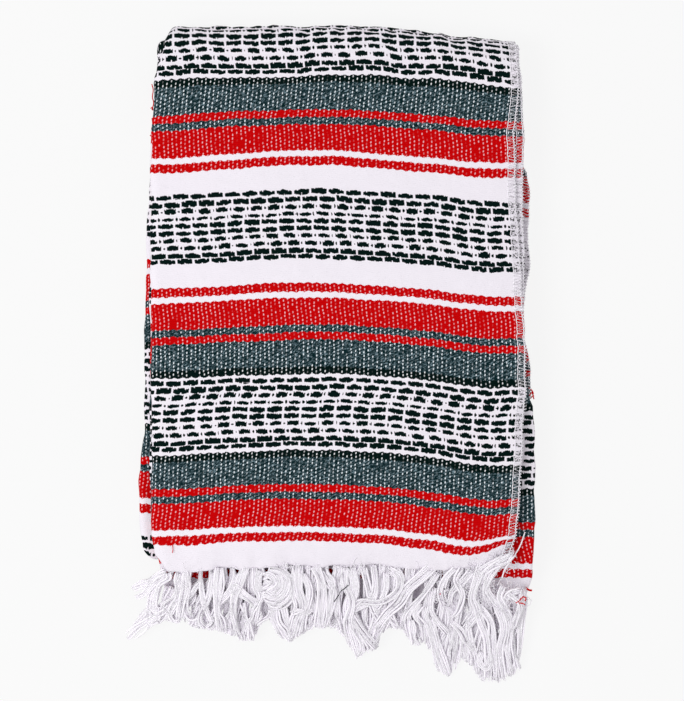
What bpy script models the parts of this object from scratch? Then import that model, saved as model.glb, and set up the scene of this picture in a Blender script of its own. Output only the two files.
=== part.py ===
"""A striped woven blanket folded four by four, lying flat, with yarn fringe at its open end.

The cloth is folded twice across its width into a pack of four layers, and that pack is folded
twice along its length into four packs that lie on each other. The row frame has +X along the
width, +Y towards the folded end, -Y towards the fringe and +Z up, in metres.
"""

import math

import bmesh
import bpy

# The cloth and the way it is packed.
CLOTH = 0.0025
SEAM = 0.0003
PACK_THICKNESS = 0.011
PACK_GAP = 0.0006
PACK_PITCH = PACK_THICKNESS + PACK_GAP
HALF_PACK = PACK_THICKNESS / 2
SIDE_ROLL = 0.007
SIDE_ROLL_END = math.radians(255)

# Where the packs end and turn, along the length.
UPPER_HEM_Y = -0.184
LOWER_HEM_Y = -0.212
FOLDED_END_Y = 0.2600
CENTRE_FOLD_Y = -0.167
CORNER_INSET = 0.011

# The middle of the whole stack's outline, which becomes the row's origin.
MIDDLE_X = 0.0025
MIDDLE_Y = 0.0021

# The open end sags over the centre fold and down to the floor.
SAG_START_Y = -0.158
SAG_END_Y = -0.235
SAG_DEPTH = 0.0255
LOWER_HALF = 2 * PACK_PITCH

# The top panel's wall and the second layer run this far past the centre fold, under the packs.
WALL_END_Y = CENTRE_FOLD_Y + 0.006
COVER_END_Y = CENTRE_FOLD_Y + 0.030
LEDGE_WIDTH = 0.014

# Side edges of each pack. Columns: y, left fold, right fold of the two lowest layers,
# selvedge of the second layer, selvedge of the first layer.
TOP_PACK_EDGES = (
    (-0.1840, -0.1450, 0.1420, 0.1400, 0.1440),
    (-0.1720, -0.1530, 0.1470, 0.1470, 0.1520),
    (-0.1510, -0.1560, 0.1500, 0.1510, 0.1565),
    (-0.1080, -0.1560, 0.1520, 0.1545, 0.1595),
    (-0.0650, -0.1560, 0.1530, 0.1560, 0.1600),
    (-0.0220, -0.1562, 0.1560, 0.1600, 0.1640),
    (0.0210, -0.1562, 0.1590, 0.1650, 0.1628),
    (0.0640, -0.1562, 0.1610, 0.1675, 0.1605),
    (0.1070, -0.1563, 0.1640, 0.1705, 0.1580),
    (0.1500, -0.1563, 0.1650, 0.1715, 0.1557),
    (0.1930, -0.1563, 0.1620, 0.1665, 0.1565),
    (0.2360, -0.1548, 0.1600, 0.1655, 0.1587),
    (0.2600, -0.1515, 0.1580, 0.1630, 0.1585),
)
SECOND_PACK_EDGES = (
    (-0.2120, -0.1430, 0.1690, 0.1620, 0.1600),
    (-0.1900, -0.1500, 0.1745, 0.1660, 0.1640),
    (-0.1510, -0.1570, 0.1775, 0.1700, 0.1680),
    (-0.0650, -0.1580, 0.1775, 0.1690, 0.1670),
    (-0.0220, -0.1580, 0.1755, 0.1680, 0.1660),
    (0.0210, -0.1580, 0.1710, 0.1650, 0.1630),
    (0.1070, -0.1570, 0.1640, 0.1610, 0.1600),
    (0.2600, -0.1520, 0.1590, 0.1570, 0.1560),
)
THIRD_PACK_EDGES = (
    (-0.1670, -0.1690, 0.1680, 0.1640, 0.1660),
    (-0.1510, -0.1725, 0.1690, 0.1650, 0.1670),
    (-0.1080, -0.1725, 0.1700, 0.1650, 0.1680),
    (-0.0650, -0.1680, 0.1690, 0.1640, 0.1670),
    (0.0210, -0.1675, 0.1670, 0.1630, 0.1650),
    (0.1070, -0.1660, 0.1660, 0.1620, 0.1640),
    (0.1500, -0.1620, 0.1650, 0.1620, 0.1640),
    (0.2600, -0.1520, 0.1590, 0.1570, 0.1560),
)
BOTTOM_PACK_EDGES = (
    (-0.1670, -0.1690, 0.1680, 0.1640, 0.1660),
    (-0.1080, -0.1700, 0.1670, 0.1640, 0.1660),
    (0.0210, -0.1650, 0.1660, 0.1650, 0.1640),
    (0.1500, -0.1610, 0.1650, 0.1670, 0.1620),
    (0.2600, -0.1515, 0.1580, 0.1630, 0.1585),
)

# How far the folded end rises or falls across the width. Columns: x, rise.
FOLDED_END_RISE = (
    (-0.130, 0.0000),
    (-0.095, 0.0005),
    (-0.060, 0.0025),
    (-0.010, 0.0000),
    (0.055, -0.0010),
    (0.073, -0.0025),
    (0.090, -0.0060),
    (0.110, -0.0100),
)

# Places along the length where a section of a straight pack lies.
STRAIGHT_STEPS = (
    -0.2120, -0.2060, -0.1990, -0.1915, -0.1840, -0.1780, -0.1720, -0.1670, -0.1610, -0.1510, -0.1370,
    -0.1080, -0.0650, -0.0220, 0.0210, 0.0640, 0.1070, 0.1500, 0.1930, 0.2300,
)
OUTER_BEND_STEPS = 10
INNER_BEND_STEPS = 6
CENTRE_FOLD_STEPS = 8
ROLL_STEPS = 6

# Places across the width where every section of the cloth has a point.
WIDTH_COLUMNS = [row[0] for row in FOLDED_END_RISE]

# Fringe. Columns: x of a root, how far its tip moves sideways, y of the upper tips and of the lower tips.
FRINGE_TIPS = (
    (-0.147, -0.0300, -0.240, -0.247),
    (-0.135, -0.0260, -0.228, -0.237),
    (-0.120, -0.0200, -0.221, -0.231),
    (-0.075, -0.0130, -0.226, -0.241),
    (-0.049, -0.0120, -0.222, -0.235),
    (-0.021, -0.0120, -0.230, -0.246),
    (0.012, -0.0110, -0.224, -0.237),
    (0.032, -0.0100, -0.236, -0.260),
    (0.058, -0.0090, -0.226, -0.240),
    (0.091, -0.0070, -0.238, -0.264),
    (0.104, -0.0070, -0.242, -0.276),
    (0.117, -0.0060, -0.236, -0.264),
    (0.145, -0.0065, -0.246, -0.284),
    (0.160, -0.0080, -0.240, -0.280),
    (0.170, -0.0100, -0.232, -0.266),
)
STRIP_DEPTH = 0.004
STRIP_STEPS = 16
STRIP_INSET = 0.002
STRAND_RADIUS = 0.0023
STRAND_TAPER = 0.35
STRAND_SIDES = 3
STRAND_STEPS = 6
STRANDS_IN_ROW = 35
ROOT_IN_STRIP = 0.0012
WAVE_SIDEWAYS = 0.0025
WAVE_LENGTH = 0.095
UNEVEN_SHARE = 0.07
UNEVEN_TURN = 2.4

PACK_ORDER = ("bottom", "third", "second", "top")
PACK_LEVELS = {name: HALF_PACK + PACK_PITCH * rank for rank, name in enumerate(PACK_ORDER)}
BEND_LEVEL = (PACK_LEVELS["bottom"] + PACK_LEVELS["top"]) / 2
OUTER_BEND_RADIUS = PACK_LEVELS["top"] - BEND_LEVEL
INNER_BEND_RADIUS = PACK_LEVELS["second"] - BEND_LEVEL
FOLD_LEVEL = (PACK_LEVELS["bottom"] + PACK_LEVELS["third"]) / 2
FOLD_RADIUS = PACK_PITCH / 2

# Rows of locks. Columns: height of the roots, height of the tips before the sag, share of the reach.
UPPER_LOCKS = (
    (PACK_LEVELS["top"] + 0.0009, PACK_LEVELS["top"] - 0.0003, 1.0),
    (PACK_LEVELS["top"] - 0.0036, PACK_LEVELS["top"] - 0.0044, 0.85),
)
LOWER_LOCKS = (
    (PACK_LEVELS["second"] + 0.0035, SAG_DEPTH + 0.0062, 0.85),
    (PACK_LEVELS["second"] - 0.0009, SAG_DEPTH + 0.0022, 1.0),
)


def eased(share):
    share = min(max(share, 0.0), 1.0)
    return share * share * (3.0 - 2.0 * share)


def row_at(rows, key):
    """The other columns of a table at a value of its first one, eased between rows."""
    if key <= rows[0][0]:
        return rows[0][1:]
    for low, high in zip(rows, rows[1:]):
        if key <= high[0]:
            share = eased((key - low[0]) / (high[0] - low[0]))
            return tuple(a + (b - a) * share for a, b in zip(low[1:], high[1:]))
    return rows[-1][1:]


def blended(first, second, share):
    return tuple(a + (b - a) * share for a, b in zip(first, second))


def sagged(x, y, z):
    """Where a point of the neatly folded stack lies once it is skewed and its open end sags."""
    rise, = row_at(FOLDED_END_RISE, x)
    share = min(max((y - UPPER_HEM_Y) / (FOLDED_END_Y - UPPER_HEM_Y), 0.0), 1.0)
    sag = SAG_DEPTH * eased((SAG_START_Y - y) / (SAG_START_Y - SAG_END_Y))
    return (x - MIDDLE_X, y + rise * share - MIDDLE_Y, z - sag * min(z / LOWER_HALF, 1.0))


class Station:
    """A place on the middle line of the packs: its point, its direction and the pack's side edges."""

    def __init__(self, y, z, turn, edges, cover):
        self.y = y
        self.z = z
        self.turn = turn
        self.left, self.fold, self.second, self.first = edges
        self.cover = cover

    def placed(self, x, outward):
        y = self.y - outward * math.sin(self.turn)
        z = self.z + outward * math.cos(self.turn)
        return sagged(x, y, z)


def straight(level, turn, edges, start, end, cover=1.0):
    """Stations of a straight pack from start to end, both included."""
    low, high = min(start, end), max(start, end)
    places = sorted({low, high, *(y for y in STRAIGHT_STEPS if low < y < high)}, reverse=start > end)
    return [Station(y, PACK_LEVELS[level], turn, row_at(edges, y), cover) for y in places]


def bend(centre_y, level, radius, turns, edges, steps, cover=1.0, inset=0.0):
    """Stations inside a bend, without its two ends. The bend's middle is drawn in at both sides."""
    side = 1.0 if turns[1] < turns[0] else -1.0
    stations = []
    for step in range(1, steps):
        share = step / steps
        turn = turns[0] + (turns[1] - turns[0]) * share
        left, fold, second, first = blended(edges[0], edges[1], share)
        drawn = inset * math.sin(math.pi * share)
        sides = (left + drawn, fold - drawn / 2, second - drawn / 2, first - drawn / 2)
        y = centre_y - side * radius * math.sin(turn)
        z = level + side * radius * math.cos(turn)
        stations.append(Station(y, z, turn, sides, cover))
    return stations


def outer_run():
    """The top pack, the outer bend, the bottom pack and the centre fold."""
    run = straight("top", 0.0, TOP_PACK_EDGES, UPPER_HEM_Y, FOLDED_END_Y)
    ends = (TOP_PACK_EDGES[-1][1:], BOTTOM_PACK_EDGES[-1][1:])
    turns = (0.0, -math.pi)
    place = (FOLDED_END_Y, BEND_LEVEL, OUTER_BEND_RADIUS)
    run += bend(*place, turns, ends, OUTER_BEND_STEPS, inset=CORNER_INSET)
    run += straight("bottom", -math.pi, BOTTOM_PACK_EDGES, FOLDED_END_Y, CENTRE_FOLD_Y)
    ends = (BOTTOM_PACK_EDGES[0][1:], THIRD_PACK_EDGES[0][1:])
    turns = (-math.pi, -2 * math.pi)
    place = (CENTRE_FOLD_Y, FOLD_LEVEL, FOLD_RADIUS)
    run += bend(*place, turns, ends, CENTRE_FOLD_STEPS, inset=CORNER_INSET / 2)
    run += straight("third", -2 * math.pi, THIRD_PACK_EDGES, CENTRE_FOLD_Y, WALL_END_Y)
    return run


def inner_run():
    """The outer run, then the third pack, the inner bend and the second pack."""
    run = outer_run()
    run += straight("third", -2 * math.pi, THIRD_PACK_EDGES, COVER_END_Y, FOLDED_END_Y, cover=0.0)
    ends = (THIRD_PACK_EDGES[-1][1:], SECOND_PACK_EDGES[-1][1:])
    turns = (-2 * math.pi, -math.pi)
    run += bend(FOLDED_END_Y, BEND_LEVEL, INNER_BEND_RADIUS, turns, ends, INNER_BEND_STEPS, cover=0.0)
    run += straight("second", -math.pi, SECOND_PACK_EDGES, FOLDED_END_Y, LOWER_HEM_Y, cover=0.0)
    return run


def roll_points(left, across, outward, first, last):
    """Points of the rolled left side, as an ellipse between two angles."""
    points = []
    for step in range(ROLL_STEPS + 1):
        angle = first + (last - first) * step / ROLL_STEPS
        points.append((left + SIDE_ROLL + across * math.cos(angle), outward * math.sin(angle)))
    return points


def wall_section(station):
    """The first layer: flat outside, with a selvedge at the right and a roll round the left."""
    outside = HALF_PACK
    inside = HALF_PACK - CLOTH
    right = station.first
    soft = CLOTH / 5
    points = [(right - soft, inside), (right, inside + soft)]
    points += [(right, outside - soft), (right - soft, outside)]
    points += [(x, outside) for x in reversed(WIDTH_COLUMNS)]
    points += roll_points(station.left, SIDE_ROLL, outside, math.pi / 2, SIDE_ROLL_END)
    points += roll_points(station.left, SIDE_ROLL - CLOTH, inside, SIDE_ROLL_END, math.pi / 2)
    points += [(x, inside) for x in WIDTH_COLUMNS]
    return points


def strip_section(station):
    """The second layer where it shows: a strip from its selvedge to under the first layer."""
    right = station.second
    left = min(station.second, station.fold, station.first) - LEDGE_WIDTH + SEAM
    low = SEAM / 2
    high = low + CLOTH
    soft = CLOTH / 5
    return [
        (left, low), (right - soft, low), (right, low + soft),
        (right, high - soft), (right - soft, high), (left, high),
    ]


def core_section(station):
    """The hidden layers as one body, layered at the right edge and rolled at the left."""
    cover = station.cover
    spared = CLOTH + SEAM + SEAM / 6
    top = HALF_PACK - spared * cover
    layer = HALF_PACK / 2
    soft = layer / 4
    fold = station.fold
    ledge = min(station.second, station.fold, station.first) - LEDGE_WIDTH
    low = -SEAM / 2
    rise = (HALF_PACK - spared - low) / 6
    covered = [(fold - layer, low)] + [(ledge, low + rise * step) for step in range(7)]
    bare = [
        (min(fold, station.second) - layer, 0.0),
        (station.second, soft), (station.second, layer - soft),
        (min(station.first, station.second) - soft, layer),
        (station.first, layer + soft), (station.first, HALF_PACK - soft),
        (station.first - soft, HALF_PACK), (station.first - 2 * soft, HALF_PACK),
    ]
    step_x = station.left + SIDE_ROLL + SEAM
    points = [(step_x + SEAM, -HALF_PACK)]
    points += [(x, -HALF_PACK) for x in WIDTH_COLUMNS]
    points += [(fold - layer, -HALF_PACK), (fold - soft, -HALF_PACK + soft)]
    points += [(fold, -layer), (fold - soft, -soft)]
    points += [blended(open_edge, under, cover) for open_edge, under in zip(bare, covered)]
    points += [(x, top) for x in reversed(WIDTH_COLUMNS)]
    across = SIDE_ROLL - spared * cover
    points += roll_points(station.left, across, top, math.pi / 2, 3 * math.pi / 2)
    points += [(step_x, -HALF_PACK + (HALF_PACK - top) * (1.0 - SEAM))]
    return points


def add_loft(mesh, rings):
    """Adds a closed body through rings of equal length, with flat ends."""
    loops = [[mesh.verts.new(point) for point in ring] for ring in rings]
    count = len(rings[0])
    for near, far in zip(loops, loops[1:]):
        for i in range(count):
            j = (i + 1) % count
            mesh.faces.new((near[i], near[j], far[j], far[i]))
    ends = [mesh.faces.new(loops[0]), mesh.faces.new(loops[-1])]
    bmesh.ops.triangulate(mesh, faces=ends)


def lofted(bodies):
    """A mesh of the bodies, each a list of rings, with its faces pointing out."""
    mesh = bmesh.new()
    for rings in bodies:
        add_loft(mesh, rings)
    bmesh.ops.recalc_face_normals(mesh, faces=mesh.faces)
    return mesh


def swept(stations, section):
    return lofted([[[station.placed(*point) for point in section(station)] for station in stations]])


def material(name, colour, roughness):
    made = bpy.data.materials.new(name)
    made.use_nodes = True
    shader = made.node_tree.nodes["Principled BSDF"]
    shader.inputs["Base Color"].default_value = (*colour, 1.0)
    shader.inputs["Roughness"].default_value = roughness
    made.diffuse_color = (*colour, 1.0)
    return made


def piece(name, mesh, finish, collection):
    """A named object in the collection, smooth but for its sharp edges."""
    data = bpy.data.meshes.new(name)
    mesh.to_mesh(data)
    mesh.free()
    data.materials.append(finish)
    data.shade_smooth()
    data.set_sharp_from_angle(angle=math.radians(50))
    made = bpy.data.objects.new(name, data)
    collection.objects.link(made)
    return made


def strip_rings(left, right, hem_y, low, high):
    """The band that the fringe's roots are fused into, just outside the hem."""
    near = hem_y - SEAM
    far = near - STRIP_DEPTH
    rings = []
    for step in range(STRIP_STEPS + 1):
        x = left + (right - left) * step / STRIP_STEPS
        corners = ((near, low), (near, high), (far, high), (far, low))
        rings.append([sagged(x, y, z) for y, z in corners])
    return rings


def strand_rings(root_x, root_y, sideways, tip_y, root_z, tip_z):
    """One lock of yarn from inside the band to its tip, swaying in step with its neighbours."""
    rings = []
    for step in range(STRAND_STEPS + 1):
        share = step / STRAND_STEPS
        sway = WAVE_SIDEWAYS * math.sin(2 * math.pi * (share + root_x / WAVE_LENGTH)) * share
        x = root_x + sideways * share + sway
        y = root_y + (tip_y - root_y) * share
        z = root_z + (tip_z - root_z) * share
        radius = STRAND_RADIUS * (1.0 - STRAND_TAPER * share)
        ring = []
        for side in range(STRAND_SIDES):
            angle = math.pi / 2 + 2 * math.pi * side / STRAND_SIDES
            ring.append(sagged(x + radius * math.cos(angle), y, z + radius * math.sin(angle)))
        rings.append(ring)
    return rings


def fringe(name, hem_y, hem_edges, tip_column, rows, finish, collection, cutters):
    """A band along the hem with its rows of locks, whose roots are fused into it."""
    left = hem_edges[0] + STRIP_INSET
    right = hem_edges[1] - STRIP_INSET
    low = min(row[0] for row in rows) - STRAND_RADIUS / 2 - SEAM
    high = max(row[0] for row in rows) + STRAND_RADIUS + SEAM
    band = piece(name, lofted([strip_rings(left, right, hem_y, low, high)]), finish, collection)
    spacing = (right - left) / STRANDS_IN_ROW
    root_y = hem_y - SEAM - STRIP_DEPTH + ROOT_IN_STRIP
    locks = []
    for rank, (root_z, tip_z, tip_share) in enumerate(rows):
        for index in range(STRANDS_IN_ROW):
            root_x = left + spacing * (index + 0.25 + 0.5 * rank)
            sideways, *reaches = row_at(FRINGE_TIPS, root_x)
            uneven = 1.0 - UNEVEN_SHARE * (1.0 - math.cos(index * UNEVEN_TURN + rank))
            tip_y = root_y + (reaches[tip_column] - root_y) * tip_share * uneven
            locks.append(strand_rings(root_x, root_y, sideways, tip_y, root_z, tip_z))
    loose = piece(name + "_locks", lofted(locks), finish, cutters)
    loose.hide_render = True
    loose.display_type = "WIRE"
    union = band.modifiers.new("fused roots", "BOOLEAN")
    union.operation = "UNION"
    union.object = loose


def main():
    for leftover in list(bpy.data.objects):
        bpy.data.objects.remove(leftover)
    blanket = bpy.data.collections.new("folded_blanket")
    helpers = bpy.data.collections.new("fringe_locks")
    for collection in (blanket, helpers):
        bpy.context.scene.collection.children.link(collection)

    striped = material("striped_cloth", (0.55, 0.03, 0.03), 0.9)
    selvedge = material("selvedge_cloth", (0.75, 0.72, 0.74), 0.9)
    hidden = material("hidden_cloth", (0.10, 0.13, 0.14), 0.9)
    yarn = material("white_yarn", (0.80, 0.79, 0.81), 0.85)

    piece("top_panel", swept(outer_run(), wall_section), striped, blanket)
    piece("second_layer", swept(outer_run(), strip_section), selvedge, blanket)
    piece("inner_layers", swept(inner_run(), core_section), hidden, blanket)

    top_hem = TOP_PACK_EDGES[0][1:3]
    fringe("fringe_upper", UPPER_HEM_Y, top_hem, 0, UPPER_LOCKS, yarn, blanket, helpers)
    second_hem = SECOND_PACK_EDGES[0][1:3]
    fringe("fringe_lower", LOWER_HEM_Y, second_hem, 1, LOWER_LOCKS, yarn, blanket, helpers)


main()
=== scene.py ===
"""Looks of the folded striped blanket: woven cloth, bound selvedges and yarn fringe.

The cloth is drawn as thin sheets along the same fold path that the solids follow, so each sheet
lies on its own solid. Cloth coordinates are kept in metres in a UV map: u runs across the cloth
from its first selvedge, v runs along it from the upper hem.
"""

import math

import bpy
import numpy as np
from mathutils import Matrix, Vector


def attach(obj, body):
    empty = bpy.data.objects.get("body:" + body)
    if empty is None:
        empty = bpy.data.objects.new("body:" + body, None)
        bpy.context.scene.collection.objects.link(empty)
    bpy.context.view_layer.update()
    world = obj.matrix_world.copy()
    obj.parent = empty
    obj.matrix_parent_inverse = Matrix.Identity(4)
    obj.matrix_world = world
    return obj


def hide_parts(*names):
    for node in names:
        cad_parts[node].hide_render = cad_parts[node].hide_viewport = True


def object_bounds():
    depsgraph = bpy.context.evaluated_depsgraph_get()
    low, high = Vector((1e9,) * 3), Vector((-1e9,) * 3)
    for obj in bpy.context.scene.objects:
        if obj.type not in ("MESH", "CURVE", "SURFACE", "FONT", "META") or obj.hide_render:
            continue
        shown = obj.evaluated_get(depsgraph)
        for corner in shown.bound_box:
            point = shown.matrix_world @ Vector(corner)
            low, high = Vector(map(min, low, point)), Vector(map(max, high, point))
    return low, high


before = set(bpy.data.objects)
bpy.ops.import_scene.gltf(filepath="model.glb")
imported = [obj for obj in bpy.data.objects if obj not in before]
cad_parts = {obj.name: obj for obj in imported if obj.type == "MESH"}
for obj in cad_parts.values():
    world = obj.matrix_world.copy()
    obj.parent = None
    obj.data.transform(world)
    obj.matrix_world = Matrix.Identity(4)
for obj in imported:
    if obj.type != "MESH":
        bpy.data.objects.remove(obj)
CAD_BOX = [list(corner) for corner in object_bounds()]

# The photo: metres for one pixel at the top of the pile, and the pixel at the row's origin.
PIXEL = 0.00086
ORIGIN_PX = (334.9, 352.56)
PHOTO_CENTRE_PX = (342.0, 350.5)
PHOTO_HEIGHT_PX = 701
CAMERA_HEIGHT = 2.4
SENSOR_WIDTH = 36.0
CAMERA_X = (PHOTO_CENTRE_PX[0] - ORIGIN_PX[0]) * PIXEL
CAMERA_Y = (ORIGIN_PX[1] - PHOTO_CENTRE_PX[1]) * PIXEL

# The cloth and the way it is packed, as in the solids.
CLOTH = 0.0025
SEAM = 0.0003
PACK_THICKNESS = 0.011
PACK_GAP = 0.0006
PACK_PITCH = PACK_THICKNESS + PACK_GAP
HALF_PACK = PACK_THICKNESS / 2
LAYER = HALF_PACK / 2
SIDE_ROLL = 0.007
SIDE_ROLL_END = math.radians(262)
UPPER_HEM_Y = -0.184
LOWER_HEM_Y = -0.212
FOLDED_END_Y = 0.2600
CENTRE_FOLD_Y = -0.167
CORNER_INSET = 0.011
MIDDLE_X = 0.0025
MIDDLE_Y = 0.0021
SAG_START_Y = -0.158
SAG_END_Y = -0.235
SAG_DEPTH = 0.0255
LOWER_HALF = 2 * PACK_PITCH
BULGE_START_Y = 0.21

# How the sheets are drawn: the faces of the first and second layer, the width of a pack round its
# left roll, the flat widths of the sheets, and how far their hidden lips reach in from an edge.
WALL_FACES = (HALF_PACK - CLOTH, HALF_PACK)
STRIP_FACES = (SEAM / 2, SEAM / 2 + CLOTH)
PACK_WIDTH = 0.3355
STRIP_WIDTH = 0.032
WALL_LIP = (0.012, 0.005)
STRIP_LIP = (0.014, 0.006)
FOLD_LIP = (0.012, 0.030)
EDGE_STEPS = 6
ROLL_STEPS = 16
FOLD_STEPS = 8
COARSE_STEP = 0.0045
FINE_BEND_STEPS = 46
COARSE_BEND_STEPS = 24
# Seeds of the waver of each right edge.
FIRST_SEED, FOLD_SEED, SECOND_SEED = 31, 41, 51
# Unevenness of the top of the pile. Columns: seed, height, length across, length along.
PILE_WAVES = ((61, 0.0011, 0.085, 0.07), (62, 0.0005, 0.028, 0.024), (63, 0.0003, 0.009, 0.008))

# Side edges of each pack. Columns: y, left fold, right fold of the two lowest layers,
# selvedge of the second layer, selvedge of the first layer.
TOP_PACK_EDGES = (
    (-0.1840, -0.1450, 0.1420, 0.1400, 0.1440),
    (-0.1720, -0.1530, 0.1470, 0.1470, 0.1530),
    (-0.1510, -0.1560, 0.1500, 0.1510, 0.1590),
    (-0.1080, -0.1560, 0.1520, 0.1545, 0.1622),
    (-0.0650, -0.1560, 0.1530, 0.1570, 0.1636),
    (-0.0220, -0.1562, 0.1560, 0.1610, 0.1664),
    (0.0210, -0.1562, 0.1590, 0.1645, 0.1660),
    (0.0640, -0.1562, 0.1600, 0.1655, 0.1636),
    (0.1070, -0.1563, 0.1620, 0.1650, 0.1610),
    (0.1500, -0.1563, 0.1620, 0.1645, 0.1585),
    (0.1930, -0.1552, 0.1610, 0.1655, 0.1570),
    (0.2360, -0.1532, 0.1600, 0.1645, 0.1604),
    (0.2450, -0.1520, 0.1595, 0.1640, 0.1604),
    (0.2520, -0.1494, 0.1590, 0.1632, 0.1604),
    (0.2600, -0.1458, 0.1580, 0.1620, 0.1602),
)
SECOND_PACK_EDGES = (
    (-0.2120, -0.1430, 0.1690, 0.1620, 0.1600),
    (-0.1900, -0.1500, 0.1735, 0.1660, 0.1640),
    (-0.1510, -0.1570, 0.1757, 0.1700, 0.1680),
    (-0.0650, -0.1580, 0.1755, 0.1690, 0.1670),
    (-0.0430, -0.1580, 0.1742, 0.1700, 0.1670),
    (-0.0300, -0.1580, 0.1695, 0.1728, 0.1660),
    (-0.0120, -0.1580, 0.1660, 0.1715, 0.1650),
    (0.0100, -0.1580, 0.1640, 0.1690, 0.1640),
    (0.0210, -0.1580, 0.1630, 0.1652, 0.1630),
    (0.0400, -0.1578, 0.1630, 0.1652, 0.1630),
    (0.0640, -0.1575, 0.1632, 0.1680, 0.1630),
    (0.0850, -0.1572, 0.1635, 0.1712, 0.1625),
    (0.1070, -0.1570, 0.1638, 0.1704, 0.1620),
    (0.1500, -0.1560, 0.1638, 0.1712, 0.1610),
    (0.1620, -0.1555, 0.1635, 0.1690, 0.1605),
    (0.1750, -0.1550, 0.1630, 0.1645, 0.1600),
    (0.2600, -0.1510, 0.1585, 0.1570, 0.1560),
)
THIRD_PACK_EDGES = (
    (-0.1670, -0.1655, 0.1680, 0.1640, 0.1660),
    (-0.1510, -0.1680, 0.1690, 0.1650, 0.1670),
    (-0.1080, -0.1682, 0.1700, 0.1650, 0.1680),
    (-0.0650, -0.1640, 0.1690, 0.1640, 0.1670),
    (0.0210, -0.1628, 0.1670, 0.1630, 0.1650),
    (0.1070, -0.1620, 0.1660, 0.1620, 0.1640),
    (0.1500, -0.1590, 0.1650, 0.1620, 0.1640),
    (0.2600, -0.1520, 0.1590, 0.1570, 0.1560),
)
BOTTOM_PACK_EDGES = (
    (-0.1670, -0.1655, 0.1680, 0.1640, 0.1660),
    (-0.1080, -0.1660, 0.1670, 0.1640, 0.1660),
    (0.0210, -0.1615, 0.1660, 0.1650, 0.1640),
    (0.1500, -0.1580, 0.1650, 0.1670, 0.1620),
    (0.2600, -0.1515, 0.1580, 0.1630, 0.1585),
)
# How far the folded end rises or falls across the width. Columns: x, rise.
FOLDED_END_RISE = (
    (-0.130, 0.0), (-0.095, 0.0005), (-0.060, 0.0025), (-0.010, 0.0), (0.055, -0.0010),
    (0.073, -0.0025), (0.090, -0.0060), (0.110, -0.0100),
)
# How far the folded end bulges past its solid. Columns: x, bulge.
FOLDED_END_BULGE = (
    (-0.160, 0.0012), (-0.143, 0.0025), (-0.107, 0.0022), (-0.086, 0.0018), (-0.065, 0.0003),
    (-0.036, 0.0003), (-0.010, 0.0018), (0.017, 0.0024), (0.044, 0.0022), (0.058, 0.0006),
    (0.075, 0.0016), (0.088, 0.0026), (0.118, 0.0026), (0.134, 0.0008), (0.148, -0.0004),
    (0.155, -0.0012),
)
# How much of the inset of a bend each edge takes: left fold, right fold, second and first selvedge.
BEND_DRAW = (0.8, 0.5, 0.15, 0.1)

PACK_ORDER = ("bottom", "third", "second", "top")
PACK_LEVELS = {name: HALF_PACK + PACK_PITCH * rank for rank, name in enumerate(PACK_ORDER)}
BEND_LEVEL = (PACK_LEVELS["bottom"] + PACK_LEVELS["top"]) / 2
OUTER_BEND_RADIUS = PACK_LEVELS["top"] - BEND_LEVEL
INNER_BEND_RADIUS = PACK_LEVELS["second"] - BEND_LEVEL
FOLD_LEVEL = (PACK_LEVELS["bottom"] + PACK_LEVELS["third"]) / 2
FOLD_RADIUS = PACK_PITCH / 2
TOP_LENGTH = FOLDED_END_Y - UPPER_HEM_Y
BEND_SPLIT = 0.70

# The weave and the stripes. Distances run from the middle of a band of dashes.
WARP = 0.00372
PICK = 0.00165
HALF_PERIOD = 0.1617
HEM_TO_BAND = 0.135
PLAIN_HEM = 0.0225
CLOTH_LENGTH = 2 * HEM_TO_BAND + 10 * HALF_PERIOD
BLACK, GREY, RED, WHITE = "black", "grey", "red", "white"
STRIPES = (
    (0.0, WHITE), (0.0326, BLACK), (0.0389, GREY), (0.0621, RED), (0.0688, GREY),
    (0.0750, RED), (0.0983, WHITE), (0.1034, RED), (0.1107, WHITE),
)
COLOURS = {
    BLACK: (0.0004, 0.0072, 0.0062),
    GREY: (0.0010, 0.0150, 0.0185),
    RED: (0.570, 0.0002, 0.0012),
    WHITE: (0.885, 0.840, 0.908),
}
HEATHER = (0.262, 0.375, 0.435)
SPECK = (0.30, 0.33, 0.36)
YARN_TONES = ((0.885, 0.838, 0.918), (0.930, 0.885, 0.958))
DARK_THREAD = (0.02, 0.024, 0.026)
# The white warp that shows as dots: how plainly and in what colour on each yarn, and the half sizes
# of a dot as shares of a column and of two picks.
DOT_SHARE = {GREY: 0.96, BLACK: 0.97, RED: 0.84, WHITE: 0.0}
DOT_COLOURS = {
    GREY: (0.88, 0.95, 1.00),
    BLACK: (0.88, 0.88, 0.90),
    RED: (1.00, 0.56, 0.62),
    WHITE: (0.9, 0.9, 0.9),
}
DOT_WIDTH = 0.175
DOT_HEIGHT = 0.33
DASH_PITCH = 0.00625
DASH_ROWS = 10
DASH_PERIOD = 4 * WARP
# Rows of a band of dashes. Columns: shift along the row, length, both as shares of the period,
# thickness as a share of the pitch, whether small dots fill the gaps, rise as a share of the pitch.
DASHES = (
    (0.00, 0.88, 0.60, 0, 0.08), (0.49, 0.90, 0.68, 0, -0.16), (0.35, 0.68, 0.62, 1, -0.05),
    (0.13, 0.66, 0.56, 1, 0.00), (0.02, 0.88, 0.64, 0, 0.00), (0.02, 0.88, 0.66, 0, 0.04),
    (0.145, 0.68, 0.44, 1, -0.03), (0.35, 0.68, 0.66, 1, 0.00), (0.48, 0.90, 0.70, 0, 0.00),
    (0.03, 0.88, 0.62, 0, 0.04),
)

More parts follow.
